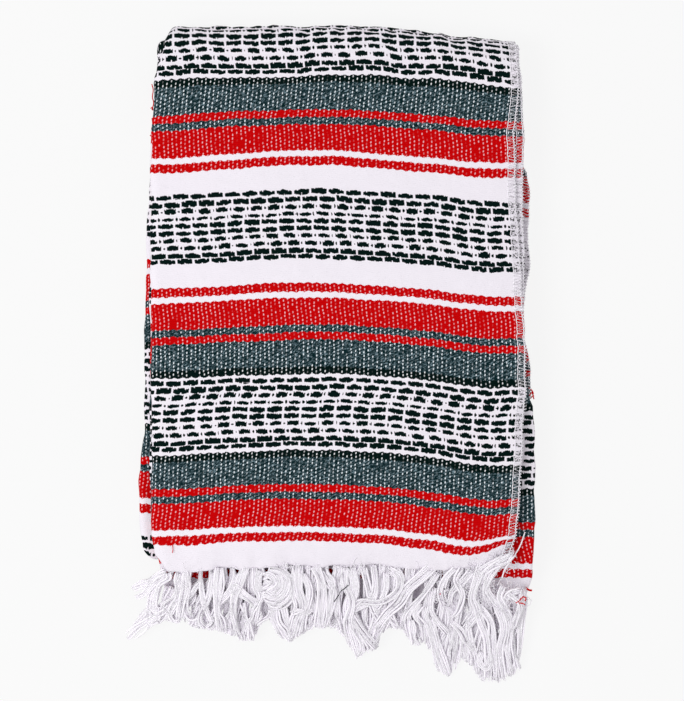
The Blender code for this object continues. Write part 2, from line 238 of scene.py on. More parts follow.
# How far the weft bows towards the open end. Columns: x, bow near the folded end, bow near the hem.
WEFT_BOW = (
    (-0.1540, 0.0077, 0.0036), (-0.1315, 0.0060, 0.0032), (-0.0868, 0.0034, 0.0010),
    (-0.0400, 0.0008, 0.0000), (0.0027, 0.0000, 0.0004), (0.0474, 0.0026, 0.0026),
    (0.0921, 0.0055, 0.0078), (0.1145, 0.0084, 0.0118), (0.1368, 0.0104, 0.0136),
    (0.1560, 0.0108, 0.0124),
)
# Along the cloth: a place past the first bend, and where the second pack's own bow begins.
FIRST_BEND_END = 0.5
SECOND_BOW_START = 1.30
SECOND_PACK_BOW = 0.0052
SECOND_PACK_SKEW = 0.0110
HEM_CORNER_CURL = 0.0065
END_BAND_BOW = 0.0022
# Share of the cloth's slack that the first bend takes, and where the rest goes.
BEND_SLACK = 0.64
LATE_SLACK_START = 1.36


def eased(share):
    share = np.clip(share, 0.0, 1.0)
    return share * share * (3.0 - 2.0 * share)


def row_at(rows, key):
    """The other columns of a table at values of its first one, eased between rows."""
    table = np.array(rows, float)
    keys = table[:, 0]
    low = np.clip(np.searchsorted(keys, key, side="right") - 1, 0, len(keys) - 2)
    share = eased((key - keys[low]) / (keys[low + 1] - keys[low]))
    return [table[low, c] * (1.0 - share) + table[low + 1, c] * share for c in range(1, table.shape[1])]


def straight_row(rows, key, column=1):
    """A column of a table at values of its first one, straight between rows."""
    table = np.array(rows, float)
    return np.interp(key, table[:, 0], table[:, column])


def blended(first, second, share):
    return [a + (b - a) * share for a, b in zip(first, second)]


def pile_share(y):
    """0 at the upper hem, 1 at the folded end."""
    return np.clip((y - UPPER_HEM_Y) / TOP_LENGTH, 0.0, 1.0)


def sagged(x, y, z):
    """Where points of the neatly folded stack lie once it is skewed and its open end sags."""
    rise = row_at(FOLDED_END_RISE, x)[0] * pile_share(y)
    bulge = row_at(FOLDED_END_BULGE, x)[0] * eased((y - BULGE_START_Y) / (FOLDED_END_Y - BULGE_START_Y))
    sag = SAG_DEPTH * eased((SAG_START_Y - y) / (SAG_START_Y - SAG_END_Y))
    lowered = z - sag * np.minimum(z / LOWER_HALF, 1.0)
    return np.stack(np.broadcast_arrays(x - MIDDLE_X, y + rise + bulge - MIDDLE_Y, lowered), axis=-1)


LATTICES = {}


def soft_noise(seed, *coordinates):
    """Smooth noise from -1 to 1 over one or two coordinates, counted in lattice cells."""
    if seed not in LATTICES:
        LATTICES[seed] = np.random.default_rng(seed).uniform(-1.0, 1.0, (256, 256))
    lattice = LATTICES[seed]
    first = np.asarray(coordinates[0], float)
    second = np.asarray(coordinates[1], float) if len(coordinates) > 1 else np.zeros_like(first)
    first, second = np.broadcast_arrays(first + 57.0, second + 91.0)
    i, j = np.floor(first).astype(int), np.floor(second).astype(int)
    a, b = eased(first - i), eased(second - j)
    corner = [[lattice[(i + di) % 256, (j + dj) % 256] for dj in (0, 1)] for di in (0, 1)]
    low = corner[0][0] * (1 - b) + corner[0][1] * b
    high = corner[1][0] * (1 - b) + corner[1][1] * b
    return low * (1 - a) + high * a


class Station:
    """A place on the middle line of the packs, with the side edges of the pack there."""

    def __init__(self, y, z, turn, edges, along):
        self.y = y
        self.z = z
        self.turn = turn
        self.left, self.fold, self.second, self.first = [float(e) for e in edges]
        self.along = along

    def placed(self, x, outward):
        y = self.y - outward * math.sin(self.turn)
        z = self.z + outward * math.cos(self.turn)
        return sagged(x, y, z)


def straight(level, turn, edges, start, end, along, step):
    count = max(2, round(abs(end - start) / step) + 1)
    made = []
    for y in np.linspace(start, end, count):
        made.append(Station(y, PACK_LEVELS[level], turn, row_at(edges, y), along + abs(y - start)))
    return made


def bend(centre_y, level, radius, turns, edges, along, steps, inset=0.0):
    side = 1.0 if turns[1] < turns[0] else -1.0
    made = []
    for step in range(1, steps):
        share = step / steps
        turn = turns[0] + (turns[1] - turns[0]) * share
        drawn = inset * math.sin(math.pi * share)
        draws = [drawn * part for part in BEND_DRAW]
        left, fold, second, first = blended(edges[0], edges[1], share)
        left += draws[0] * math.sin(math.pi * share)
        sides = (left, fold - draws[1], second - draws[2], first - draws[3])
        y = centre_y - side * radius * math.sin(turn)
        z = level + side * radius * math.cos(turn)
        made.append(Station(y, z, turn, sides, along + math.pi * radius * share))
    return made


def whole_run(top_step, step, bend_steps):
    """Stations along the whole cloth: top pack, bend, bottom pack, centre fold, third, bend, second."""
    run = straight("top", 0.0, TOP_PACK_EDGES, UPPER_HEM_Y, FOLDED_END_Y, 0.0, top_step)
    marks = {"bend": len(run) - 1}
    along = TOP_LENGTH
    ends = (TOP_PACK_EDGES[-1][1:], BOTTOM_PACK_EDGES[-1][1:])
    run += bend(FOLDED_END_Y, BEND_LEVEL, OUTER_BEND_RADIUS, (0.0, -math.pi), ends, along,
                bend_steps, CORNER_INSET)
    marks["split"] = marks["bend"] + round(bend_steps * BEND_SPLIT)
    along += math.pi * OUTER_BEND_RADIUS
    run += straight("bottom", -math.pi, BOTTOM_PACK_EDGES, FOLDED_END_Y, CENTRE_FOLD_Y, along, step)
    along += FOLDED_END_Y - CENTRE_FOLD_Y
    ends = (BOTTOM_PACK_EDGES[0][1:], THIRD_PACK_EDGES[0][1:])
    run += bend(CENTRE_FOLD_Y, FOLD_LEVEL, FOLD_RADIUS, (-math.pi, -2 * math.pi), ends, along,
                bend_steps // 2, CORNER_INSET / 2)
    along += math.pi * FOLD_RADIUS
    run += straight("third", -2 * math.pi, THIRD_PACK_EDGES, CENTRE_FOLD_Y, FOLDED_END_Y, along, step)
    along += FOLDED_END_Y - CENTRE_FOLD_Y
    ends = (THIRD_PACK_EDGES[-1][1:], SECOND_PACK_EDGES[-1][1:])
    run += bend(FOLDED_END_Y, BEND_LEVEL, INNER_BEND_RADIUS, (-2 * math.pi, -math.pi), ends, along,
                bend_steps // 2)
    along += math.pi * INNER_BEND_RADIUS
    run += straight("second", -math.pi, SECOND_PACK_EDGES, FOLDED_END_Y, LOWER_HEM_Y, along, step)
    marks["length"] = along + FOLDED_END_Y - LOWER_HEM_Y
    return run, marks


def cloth_along(along, length):
    """Distance along the cloth itself, which is a little longer than the path it is folded on."""
    slack = CLOTH_LENGTH - length
    first_bend = np.clip((along - TOP_LENGTH) / (math.pi * OUTER_BEND_RADIUS), 0.0, 1.0)
    late = eased((along - LATE_SLACK_START) / 0.06)
    return along + slack * (BEND_SLACK * first_bend + (1.0 - BEND_SLACK) * late)


def weft_bow(station, x):
    """How far along the cloth the weft is ahead at places across the pack."""
    near_end, near_hem = (straight_row(WEFT_BOW, x, column) for column in (1, 2))
    share = np.clip((0.25 - station.y) / 0.41, 0.0, 1.0)
    bow = near_end * (1 - share) + near_hem * share
    later = eased((station.along - SECOND_BOW_START) / 0.06)
    second_bow = SECOND_PACK_BOW + SECOND_PACK_SKEW * eased(station.y / 0.10)
    bow = bow * (1 - later) + second_bow * later
    skew = row_at(FOLDED_END_RISE, x)[0] * pile_share(station.y)
    waver = 0.0007 * soft_noise(11, x / 0.045, station.along / 0.05)
    waver += 0.0005 * soft_noise(12, x / 0.017, station.along / 0.02)
    ahead = bow + skew
    if station.along < FIRST_BEND_END:
        ahead -= HEM_CORNER_CURL * eased((x - 0.118) / 0.034) * eased((-0.138 - station.y) / 0.03)
        in_middle = eased((x + 0.115) / 0.03) * eased((0.035 - x) / 0.03)
        ahead += END_BAND_BOW * eased((station.y - 0.22) / 0.03) * in_middle
    return math.cos(station.turn) * ahead + waver


def left_edge(station):
    fine = soft_noise(21, station.along / 0.011)
    return station.left + 0.0007 * fine + 0.0006 * soft_noise(22, station.along / 0.034)


def right_edge(station, value, seed):
    fine = soft_noise(seed + 1, station.along / 0.007)
    return value + 0.0008 * soft_noise(seed, station.along / 0.019) + 0.0005 * fine


def arc(x, outward, across, high, first, last, steps):
    """Points on an ellipse between two angles."""
    angle = np.linspace(first, last, steps + 1)
    return x + across * np.cos(angle), outward + high * np.sin(angle)


def run_length(x, outward):
    """Distance along a row of points, from the first."""
    return np.concatenate([[0.0], np.cumsum(np.hypot(np.diff(x), np.diff(outward)))])


def rounded_edge(right, middle):
    """The round edge of the cloth at a selvedge."""
    return arc(right - CLOTH / 2, middle, CLOTH / 2, CLOTH / 2, -math.pi / 2, math.pi / 2, EDGE_STEPS)


def wall_row(station, columns):
    """The first layer: a lip under its selvedge, the flat of the cloth, and the roll at the left."""
    right = right_edge(station, station.first, FIRST_SEED)
    left = left_edge(station)
    middle = HALF_PACK - CLOTH / 2
    edge_x, edge_out = rounded_edge(right, middle)
    flat_x = np.linspace(right - CLOTH / 2, left + SIDE_ROLL, columns + 1)[1:]
    roll_x, roll_out = arc(left + SIDE_ROLL, 0.0, SIDE_ROLL, HALF_PACK, math.pi / 2, SIDE_ROLL_END,
                           ROLL_STEPS)
    lip_x = [right - reach for reach in WALL_LIP]
    x = np.concatenate([lip_x, edge_x, flat_x, roll_x[1:]])
    lip_out = [HALF_PACK - CLOTH] * len(WALL_LIP)
    outward = np.concatenate([lip_out, edge_out, [HALF_PACK] * columns, roll_out[1:]])
    across = run_length(x, outward)
    selvedge = across[len(WALL_LIP) + EDGE_STEPS // 2]
    flat_start = len(WALL_LIP) + EDGE_STEPS
    return x, outward, across - selvedge, slice(flat_start, flat_start + columns + 1)


def inner_row(station, columns):
    """The third and fourth layers: round the left side, under the pack, round the right fold."""
    left = left_edge(station)
    fold = right_edge(station, station.fold, FOLD_SEED)
    roll_x, roll_out = arc(left + SIDE_ROLL, 0.0, SIDE_ROLL - SEAM, HALF_PACK - SEAM,
                           SIDE_ROLL_END - math.radians(12), 1.5 * math.pi, 3)
    flat_x = np.linspace(left + SIDE_ROLL, fold - LAYER, columns + 1)[1:-1]
    fold_x, fold_out = arc(fold - LAYER, -LAYER, LAYER, LAYER, -math.pi / 2, math.pi / 2, FOLD_STEPS)
    x = np.concatenate([roll_x, flat_x, fold_x, [fold - reach for reach in FOLD_LIP]])
    lip_out = [0.0] * len(FOLD_LIP)
    outward = np.concatenate([roll_out, [-HALF_PACK] * (columns - 1), fold_out, lip_out])
    across = run_length(x, outward)
    return x, outward, across + PACK_WIDTH, slice(0, 0)


def second_row(station, columns):
    """The second layer beside its own selvedge, with a lip under it."""
    right = right_edge(station, station.second, SECOND_SEED)
    low, high = STRIP_FACES
    edge_x, edge_out = rounded_edge(right, (low + high) / 2)
    flat_x = np.linspace(right - CLOTH / 2, right - STRIP_WIDTH, columns + 1)[1:]
    x = np.concatenate([[right - reach for reach in STRIP_LIP], edge_x, flat_x])
    outward = np.concatenate([[low] * len(STRIP_LIP), edge_out, [high] * columns])
    across = run_length(x, outward)
    return x, outward, across - across[len(STRIP_LIP) + EDGE_STEPS // 2], slice(0, 0)


def relief(x, y, v, u):
    """How far the top of the pile stands proud of its solid, in metres."""
    lift = sum(high * soft_noise(seed, x / wide, y / deep) for seed, high, wide, deep in PILE_WAVES)
    from_band = np.abs((v - HEM_TO_BAND + HALF_PERIOD / 2) % HALF_PERIOD - HALF_PERIOD / 2)
    in_band = eased((DASH_PITCH * DASH_ROWS / 2 + 0.002 - from_band) / 0.004) * (v > PLAIN_HEM)
    rows = np.cos(2 * math.pi * (from_band / DASH_PITCH - 0.5))
    lift += 0.00042 * in_band * rows
    at_bend = eased((y - 0.262) / 0.008)
    lift += 0.0012 * in_band * soft_noise(69, u / 0.0072, from_band / DASH_PITCH) * at_bend
    lift += 0.00022 * (1 - in_band) * soft_noise(64, u / WARP * 2, v / PICK / 2)
    slanted = (x * 0.75 + y * 0.65) / 0.009
    creases = soft_noise(65, slanted, (y * 0.75 - x * 0.65) / 0.028)
    lift += 0.0006 * creases * eased((-0.150 - y) / 0.02)
    lift += 0.0007 * soft_noise(66, x / 0.0055, y / 0.02) * eased((-0.176 - y) / 0.007)
    return lift


def sheet_points(run, marks, section, columns, top=False):
    """Vertices and cloth coordinates of a sheet, a row for each station."""
    rows, cloth = [], []
    for station in run:
        x, outward, across, flat = section(station, columns)
        v = cloth_along(station.along, marks["length"]) + weft_bow(station, x)
        if top:
            fade = np.zeros(len(x))
            column = np.arange(len(x[flat]))
            fade[flat] = eased((column - 4) / 6.0) * eased((column[-1] - column) / 6.0)
            fade *= eased((station.turn + math.pi * BEND_SPLIT) / 0.45)
            lift = relief(x, station.y, v, across)
            outward = outward + lift * fade
        rows.append(station.placed(x, outward))
        cloth.append(np.stack([across, v], axis=-1))
    points, cloth = np.array(rows), np.array(cloth)
    return rounded_hem(points, cloth, run) if top else (points, cloth)


# The lower edge of the top pack in the photo. Columns: x and y in pixels.
HEM_EDGE_PX = (
    (158, 566.5), (164, 571), (178, 572.5), (192, 572.5), (206, 571), (219, 567.7), (231, 567.7),
    (240, 569.7), (263, 568.4), (274, 567), (287, 565), (307, 565), (321, 568), (334, 564.6),
    (348, 565), (376, 564.6), (390, 565.5), (399, 568.3), (418, 569.7), (436, 570.4), (455, 569.8),
    (471, 568), (487, 564), (499, 560), (510, 555),
)
# How the hem rounds down to the fringe. Columns: how far back from the edge, how far down.
HEM_LIPS = ((0.0014, 0.0048), (0.0004, 0.0030), (-0.0001, 0.0014))
HEM_HEIGHT = 0.039
HEM_EASE = 0.032


def on_photo(x_px, y_px, height):
    """Where a point at a height lies on the table, for a pixel of the photo."""
    spread = (CAMERA_HEIGHT - height) / (CAMERA_HEIGHT - CAD_BOX[1][2]) * PIXEL
    x_from, y_from = x_px - PHOTO_CENTRE_PX[0], PHOTO_CENTRE_PX[1] - y_px
    return CAMERA_X + x_from * spread, CAMERA_Y + y_from * spread


def rounded_hem(points, cloth, run):
    """The hem follows its edge in the photo, and rounds down to the fringe."""
    along = np.array([station.along for station in run])[:, None]
    table = np.array(HEM_EDGE_PX)
    edge_x, edge_y = on_photo(table[:, 0], table[:, 1], HEM_HEIGHT)
    x = points[:, :, 0]
    shift = np.interp(x, edge_x, edge_y) + 0.0006 * soft_noise(68, x / 0.005) - points[0, :, 1]
    points[:, :, 1] += shift * (1.0 - eased(along / HEM_EASE))
    lips = []
    for back, down in HEM_LIPS:
        lip = points[0].copy()
        lip[:, 1] += back
        lip[:, 2] -= down
        lips.append(lip)
    points[0, :, 2] -= 0.0004
    edge = np.repeat(cloth[:1], len(lips), axis=0)
    return np.concatenate([np.array(lips), points]), np.concatenate([edge, cloth])


def grid_object(name, points, cloth, finish):
    """A smooth sheet through rows of points, with its cloth coordinates as a UV map."""
    rows, columns = points.shape[:2]
    index = np.arange(rows * columns).reshape(rows, columns)
    faces = np.stack([index[:-1, :-1], index[1:, :-1], index[1:, 1:], index[:-1, 1:]], axis=-1)
    faces = faces.reshape(-1, 4).tolist()
    return mesh_object(name, points.reshape(-1, 3), faces, cloth.reshape(-1, 2), finish)


def mesh_object(name, vertices, faces, cloth, finish):
    mesh = bpy.data.meshes.new(name)
    mesh.from_pydata(vertices.tolist(), [], faces)
    corners = [corner for face in faces for corner in face]
    layer = mesh.uv_layers.new(name="cloth")
    layer.data.foreach_set("uv", cloth[corners].astype(np.float32).ravel())
    mesh.materials.append(finish)
    mesh.shade_smooth()
    made = bpy.data.objects.new(name, mesh)
    bpy.context.scene.collection.objects.link(made)
    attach(made, "root")
    return made


class Field:
    """A number over the surface, worked out by Math nodes in one material's tree."""

    def __init__(self, tree, socket):
        self.tree = tree
        self.socket = socket

    def math(self, operation, *others, clamp=False):
        node = self.tree.nodes.new("ShaderNodeMath")
        node.operation = operation
        node.use_clamp = clamp
        for slot, value in zip(node.inputs, (self, *others)):
            connect(self.tree, slot, value)
        return Field(self.tree, node.outputs[0])

    def __add__(self, other):
        return self.math("ADD", other)

    def __radd__(self, other):
        return self.math("ADD", other)

    def __sub__(self, other):
        return self.math("SUBTRACT", other)

    def __rsub__(self, other):
        return (self * -1.0) + other

    def __mul__(self, other):
        return self.math("MULTIPLY", other)

    def __rmul__(self, other):
        return self.math("MULTIPLY", other)

    def __truediv__(self, other):
        return self.math("DIVIDE", other)

    def floor(self):
        return self.math("FLOOR")

    def fract(self):
        return self.math("FRACT")

    def absolute(self):
        return self.math("ABSOLUTE")

    def square(self):
        return self * self

    def sine(self):
        return self.math("SINE")

    def over(self, value):
        return self.math("GREATER_THAN", value)

    def under(self, value):
        return self.math("LESS_THAN", value)

    def ramp(self, low, high):
        """0 below low, 1 above high, smooth between; low may be above high."""
        node = self.tree.nodes.new("ShaderNodeMapRange")
        node.interpolation_type = "SMOOTHSTEP"
        connect(self.tree, node.inputs["Value"], self)
        connect(self.tree, node.inputs["From Min"], low)
        connect(self.tree, node.inputs["From Max"], high)
        return Field(self.tree, node.outputs["Result"])

    def lookup(self, values):
        """The value for a whole number from 0, from a list."""
        node = self.tree.nodes.new("ShaderNodeValToRGB")
        node.color_ramp.interpolation = "CONSTANT"
        stops = node.color_ramp.elements
        for rank, value in enumerate(values):
            place = rank / len(values)
            stop = stops[rank] if rank < 2 else stops.new(place)
            stop.position = place
            stop.color = (value, value, value, 1.0)
        connect(self.tree, node.inputs["Fac"], (self + 0.5) / len(values))
        return Field(self.tree, node.outputs["Color"])


def connect(tree, slot, value):
    if isinstance(value, Field):
        tree.links.new(value.socket, slot)
    elif hasattr(value, "is_output"):
        tree.links.new(value, slot)
    else:
        slot.default_value = value


def vector_of(tree, x, y, z=0.0):
    node = tree.nodes.new("ShaderNodeCombineXYZ")
    for slot, value in zip(node.inputs, (x, y, z)):
        connect(tree, slot, value)
    return node.outputs[0]


def chance(tree, x, y, z=0.0):
    """An even random number from 0 to 1 for each whole-numbered cell."""
    node = tree.nodes.new("ShaderNodeTexWhiteNoise")
    node.noise_dimensions = "3D"
    connect(tree, node.inputs["Vector"], vector_of(tree, x, y, z))
    return Field(tree, node.outputs["Value"])


def noise(tree, x, y, z=0.0, detail=2.0, roughness=0.5):
    """Soft noise, about 0.5 in the middle, over coordinates counted in cells."""
    node = tree.nodes.new("ShaderNodeTexNoise")
    node.inputs["Scale"].default_value = 1.0
    node.inputs["Detail"].default_value = detail
    node.inputs["Roughness"].default_value = roughness
    connect(tree, node.inputs["Vector"], vector_of(tree, x, y, z))
    return Field(tree, node.outputs["Fac"])


def mixed(tree, share, first, second):
    node = tree.nodes.new("ShaderNodeMix")
    node.data_type = "RGBA"
    node.clamp_factor = True
    connect(tree, node.inputs["Factor"], share)
    for slot, value in ((node.inputs["A"], first), (node.inputs["B"], second)):
        connect(tree, slot, (*value, 1.0) if isinstance(value, tuple) else value)
    return node.outputs["Result"]


def new_material(name, roughness):
    made = bpy.data.materials.new(name)
    made.use_nodes = True
    tree = made.node_tree
    shader = tree.nodes["Principled BSDF"]
    shader.inputs["Roughness"].default_value = roughness
    shader.inputs["Specular IOR Level"].default_value = 0.04
    return made, tree, shader


def cloth_coordinates(tree):
    source = tree.nodes.new("ShaderNodeUVMap")
    source.uv_map = "cloth"
    parts = tree.nodes.new("ShaderNodeSeparateXYZ")
    tree.links.new(source.outputs["UV"], parts.inputs[0])
    return Field(tree, parts.outputs[0]), Field(tree, parts.outputs[1])


def raise_surface(tree, shader, height, distance, strength):
    bump = tree.nodes.new("ShaderNodeBump")
    bump.inputs["Strength"].default_value = strength
    bump.inputs["Distance"].default_value = distance
    connect(tree, bump.inputs["Height"], height)
    tree.links.new(bump.outputs["Normal"], shader.inputs["Normal"])


def stripe_ramp(tree, place, values):
    """A constant ramp over the stripes, a colour for each name."""
    node = tree.nodes.new("ShaderNodeValToRGB")
    node.color_ramp.interpolation = "CONSTANT"
    stops = node.color_ramp.elements
    for rank, (start, name) in enumerate(STRIPES):
        stop = stops[rank] if rank < 2 else stops.new(start / HALF_PERIOD)
        stop.position = start / HALF_PERIOD
        stop.color = (*values[name], 1.0)
    connect(tree, node.inputs["Fac"], place / HALF_PERIOD)
    return node.outputs["Color"]


def as_greys(numbers):
    """A number for each yarn as a shade of grey, as stripe_ramp takes them."""
    return {name: (number,) * 3 for name, number in numbers.items()}


def stripe_mask(tree, place, plain_hem):
    """1 on the coloured stripes, 0 on white cloth."""
    shares = as_greys({GREY: 1, BLACK: 1, RED: 1, WHITE: 0})
    return Field(tree, stripe_ramp(tree, place, shares)) * (1.0 - plain_hem)


def striped_cloth():
    """Weft-faced stripes with a white warp that shows as dots, and bands of broken dashes."""
    made, tree, shader = new_material("striped_cloth", 0.95)
    u, v = cloth_coordinates(tree)

    # Each edge between stripes is scalloped by the warp that it passes over and under.
    fuzz = noise(tree, u / 0.0011, v / 0.0009, 3.0)
    slow = noise(tree, u / 0.02, v / 0.012, 7.0)
    scallop = (u * (math.pi / WARP)).sine() * 0.00050 + (fuzz - 0.5) * 0.0020 + (slow - 0.5) * 0.0014
    place = (v - HEM_TO_BAND).math("PINGPONG", HALF_PERIOD)
    wavy = place + scallop
    plain_hem = v.under(PLAIN_HEM).math("MAXIMUM", v.over(CLOTH_LENGTH - PLAIN_HEM))

    # The white warp, which shows as a dot at every other pick of each column.
    column = u / WARP
    column_index = column.floor()
    pick = v / (2 * PICK) + column_index.math("MODULO", 2.0) * 0.5
    pick_index = pick.floor()
    luck = chance(tree, column_index, pick_index)
    shove_x = (chance(tree, column_index, pick_index, 5.0) - 0.5) * 0.16
    shove_y = (chance(tree, column_index, pick_index, 9.0) - 0.5) * 0.24
    lean = (pick.fract() - 0.5) * 0.10
    dot_x = (column.fract() - 0.5 + shove_x + lean) / DOT_WIDTH
    dot_y = (pick.fract() - 0.5 + shove_y) / DOT_HEIGHT
    from_dot = (dot_x.square() + dot_y.square()).math("SQRT")
    runs = noise(tree, column_index * 3.7, v / 0.02, 2.0)
    shown = (luck + (runs - 0.5) * 1.3).ramp(-0.06, 0.72)
    dot = from_dot.ramp(1.15, 0.50) * shown

    # The heather of the grey yarn: fine light fibres that lie at a slant.
    slant_a = u * 0.86 - v * 0.5
    slant_b = v * 0.86 + u * 0.5
    fibre = noise(tree, slant_a / 0.0032, slant_b / 0.0011, 1.0, 2.0, 0.70).ramp(0.46, 0.70)
    dark_patch = noise(tree, u / 0.010, v / 0.006, 4.0).ramp(0.34, 0.66)
    grey = mixed(tree, fibre * (0.88 - dark_patch * 0.45), COLOURS[GREY], HEATHER)
    is_grey = stripe_ramp(tree, wavy, as_greys({GREY: 1, BLACK: 0, RED: 0, WHITE: 0}))
    base = mixed(tree, is_grey, stripe_ramp(tree, wavy, COLOURS), grey)

    # How plainly the dots show on each yarn.
    dots = dot * stripe_ramp(tree, wavy, as_greys(DOT_SHARE))
    woven = mixed(tree, dots, base, stripe_ramp(tree, wavy, DOT_COLOURS))
    woven = mixed(tree, plain_hem, woven, COLOURS[WHITE])

    # The bands of dashes.
    from_band = (v - HEM_TO_BAND + HALF_PERIOD / 2).math("FLOORED_MODULO", HALF_PERIOD) - HALF_PERIOD / 2
    rows = from_band / DASH_PITCH + DASH_ROWS / 2
    in_band = rows.over(0.0) * rows.under(float(DASH_ROWS)) * (1.0 - plain_hem)
    row = rows.floor()
    shift = row.lookup([values[0] for values in DASHES])
    length = row.lookup([values[1] for values in DASHES])
    thick = row.lookup([values[2] for values in DASHES])
    dotted = row.lookup([values[3] for values in DASHES])
    rise = row.lookup([0.5 + values[4] for values in DASHES]) - 0.5
    band_index = (v / HALF_PERIOD).floor()
    phase = u / DASH_PERIOD + shift + 0.035
    dash_index = phase.floor()
    own = chance(tree, dash_index, row, band_index)
    own_thick = chance(tree, dash_index, row, band_index + 40.0)
    own_rise = chance(tree, dash_index, row, band_index + 80.0)
    across = phase.fract() - 0.5
    edge = noise(tree, u / 0.0012, v / 0.0009, 8.0, 3.0) - 0.5
    slope = across * (own - 0.5) * 0.34
    drift = (noise(tree, u / 0.0050, row * 3.1 + band_index, 21.0, 2.0) - 0.5) * 0.38
    swell = noise(tree, u / 0.0042, row * 7.7 + band_index, 31.0, 2.0)
    up = rows.fract() - 0.5 - rise + (own_rise - 0.5) * 0.12 + slope + edge * 0.16 + drift
    ends = across.absolute() * 2.0 + edge * 0.09 + (own - 0.5) * 0.05
    reach = ends / length
    taper = 1.0 - reach.square() * (0.16 + own_rise * 0.40)
    # A white warp crosses each dash at every fourth of its length, from above and below in turn.
    crossing = phase * 4.0 + 0.5
    tooth_luck = chance(tree, crossing.floor(), row, band_index + 120.0)
    tooth = (crossing.fract() - 0.5).absolute().ramp(0.24, 0.02) * (0.18 + tooth_luck * 0.42)
    from_side = (crossing.floor().math("FLOORED_MODULO", 2.0) * 2.0 - 1.0) * up
    small_teeth = (phase * 8.0).fract() - 0.5
    half = thick * (0.285 + own_thick * 0.18 + swell * 0.52 - small_teeth.absolute() * 0.10) * taper
    body = (up.absolute() / half).math("MAXIMUM", (from_side + tooth * half) / half)
    dash = reach.ramp(1.02, 0.97) * body.ramp(1.08, 0.92)
    spot_x = (0.5 - across.absolute()) / (own_thick * 0.05 + 0.045)
    spot_y = (rows.fract() - 0.5 - rise + edge * 0.12) / (own_rise * 0.20 + 0.10)
    spot = (spot_x.square() + spot_y.square()).math("SQRT").ramp(1.15, 0.85) * dotted * own.over(0.18)
    strip = u.ramp(0.0072, 0.0058)
    broken = 1.0 - strip * noise(tree, u / 0.0017, v / 0.0014, 17.0).ramp(0.56, 0.46)
    ink = dash.math("MAXIMUM", spot) * in_band * broken
    faint = noise(tree, u / 0.0016, v / 0.0008, 12.0, 2.0).ramp(0.60, 0.74) * in_band * 0.16
    plain = 1.0 - stripe_mask(tree, wavy, plain_hem)
    speck = noise(tree, u / 0.0018, v / 0.0009, 19.0, 2.0).ramp(0.63, 0.74) * plain * 0.26
    ground = mixed(tree, faint.math("MAXIMUM", speck), woven, SPECK)
    colour = mixed(tree, ink, ground, COLOURS[BLACK])

    # Relief: ribs of weft, the warp dots that stand on them, thick dash yarn and loose fibres, and painted
    # shade in the colour.
    weave_wave = (u * (math.pi / WARP)).sine() * 0.20
    weft = ((v / PICK + weave_wave) * math.pi).sine().absolute()
    fine = noise(tree, u / 0.0009, v / 0.0006, 6.0, 3.0)
    yarn_rows = 1.0 - (rows.fract() - 0.5).absolute() * 2.0
    in_rows = in_band * yarn_rows * 0.5
    slub = noise(tree, (u + v) / 0.0035, (v - u) / 0.0009, 14.0, 3.0)
    relief_of_weft = weft * (0.55 - in_band * 0.35) * (1.0 - plain * 0.70)
    height = relief_of_weft + dots * 0.5 + fine * 0.55 + in_rows + ink * 0.35 + plain * slub * 0.6
    # Painted shade: the colour is scaled darker in the hollows between the weft ribs and where the fine
    # relief noise is low, on top of the bump; the base value sets the cloth's overall brightness.
    brightness_and_painted_shade = 0.78 + (weft * (1.0 - plain * 0.75) * 0.55 + fine * 0.45) * 0.205 + plain * 0.047
    shaded = tree.nodes.new("ShaderNodeVectorMath")
    shaded.operation = "SCALE"
    tree.links.new(colour, shaded.inputs[0])
    connect(tree, shaded.inputs["Scale"], brightness_and_painted_shade)
    tree.links.new(shaded.outputs[0], shader.inputs["Base Color"])
    raise_surface(tree, shader, height, 0.0007, 0.75)
    return made


def white_yarn(name, relief_strength):
    """Spun cotton plies: white, softly uneven, with a slanted twist."""
    made, tree, shader = new_material(name, 0.95)
    around, along = cloth_coordinates(tree)
    tone = noise(tree, along / 0.004, around * 2.0, 2.0)
    colour = mixed(tree, tone, *YARN_TONES)
    tree.links.new(colour, shader.inputs["Base Color"])
    shader.inputs["Sheen Weight"].default_value = 0.22
    shader.inputs["Sheen Roughness"].default_value = 0.45
    shader.inputs["Subsurface Weight"].default_value = 0.45
    shader.inputs["Subsurface Radius"].default_value = (1.0, 0.95, 1.0)
    shader.inputs["Subsurface Scale"].default_value = 0.0020
    twist = ((along / 0.0016 + around) * (2 * math.pi)).sine()
    fluff = noise(tree, along / 0.0008, around * 3.0, 5.0)
    raise_surface(tree, shader, twist * 0.5 + fluff, 0.0003, relief_strength)
    return made


def dyed_yarn(name, colour):
    made, tree, shader = new_material(name, 0.95)
    shader.inputs["Base Color"].default_value = (*colour, 1.0)
    return made


def tube(path, radii, sides):
    """Vertices, faces and coordinates of a closed-ended yarn along a path that lies mostly flat."""
    count = len(path)
    ahead = np.gradient(path, axis=0)
    ahead /= np.linalg.norm(ahead, axis=1, keepdims=True) + 1e-12
    side = np.cross(ahead, (0.0, 0.0, 1.0))
    side /= np.linalg.norm(side, axis=1, keepdims=True) + 1e-12
    over = np.cross(side, ahead)
    angle = np.arange(sides) * 2 * math.pi / sides
    ring = np.cos(angle)[None, :, None] * side[:, None] + np.sin(angle)[None, :, None] * over[:, None]
    vertices = path[:, None] + ring * radii[:, None, None]
    index = np.arange(count * sides).reshape(count, sides)
    turned = np.roll(index, -1, axis=1)
    faces = np.stack([index[:-1], index[1:], turned[1:], turned[:-1]], axis=-1).reshape(-1, 4)
    caps = np.stack([index[0], index[-1, ::-1]])
    along = np.concatenate([[0.0], np.cumsum(np.linalg.norm(np.diff(path, axis=0), axis=1))])
    cloth = np.stack(np.broadcast_arrays(np.arange(sides)[None, :] / sides, along[:, None]), axis=-1)
    return vertices.reshape(-1, 3), faces, caps, cloth.reshape(-1, 2)


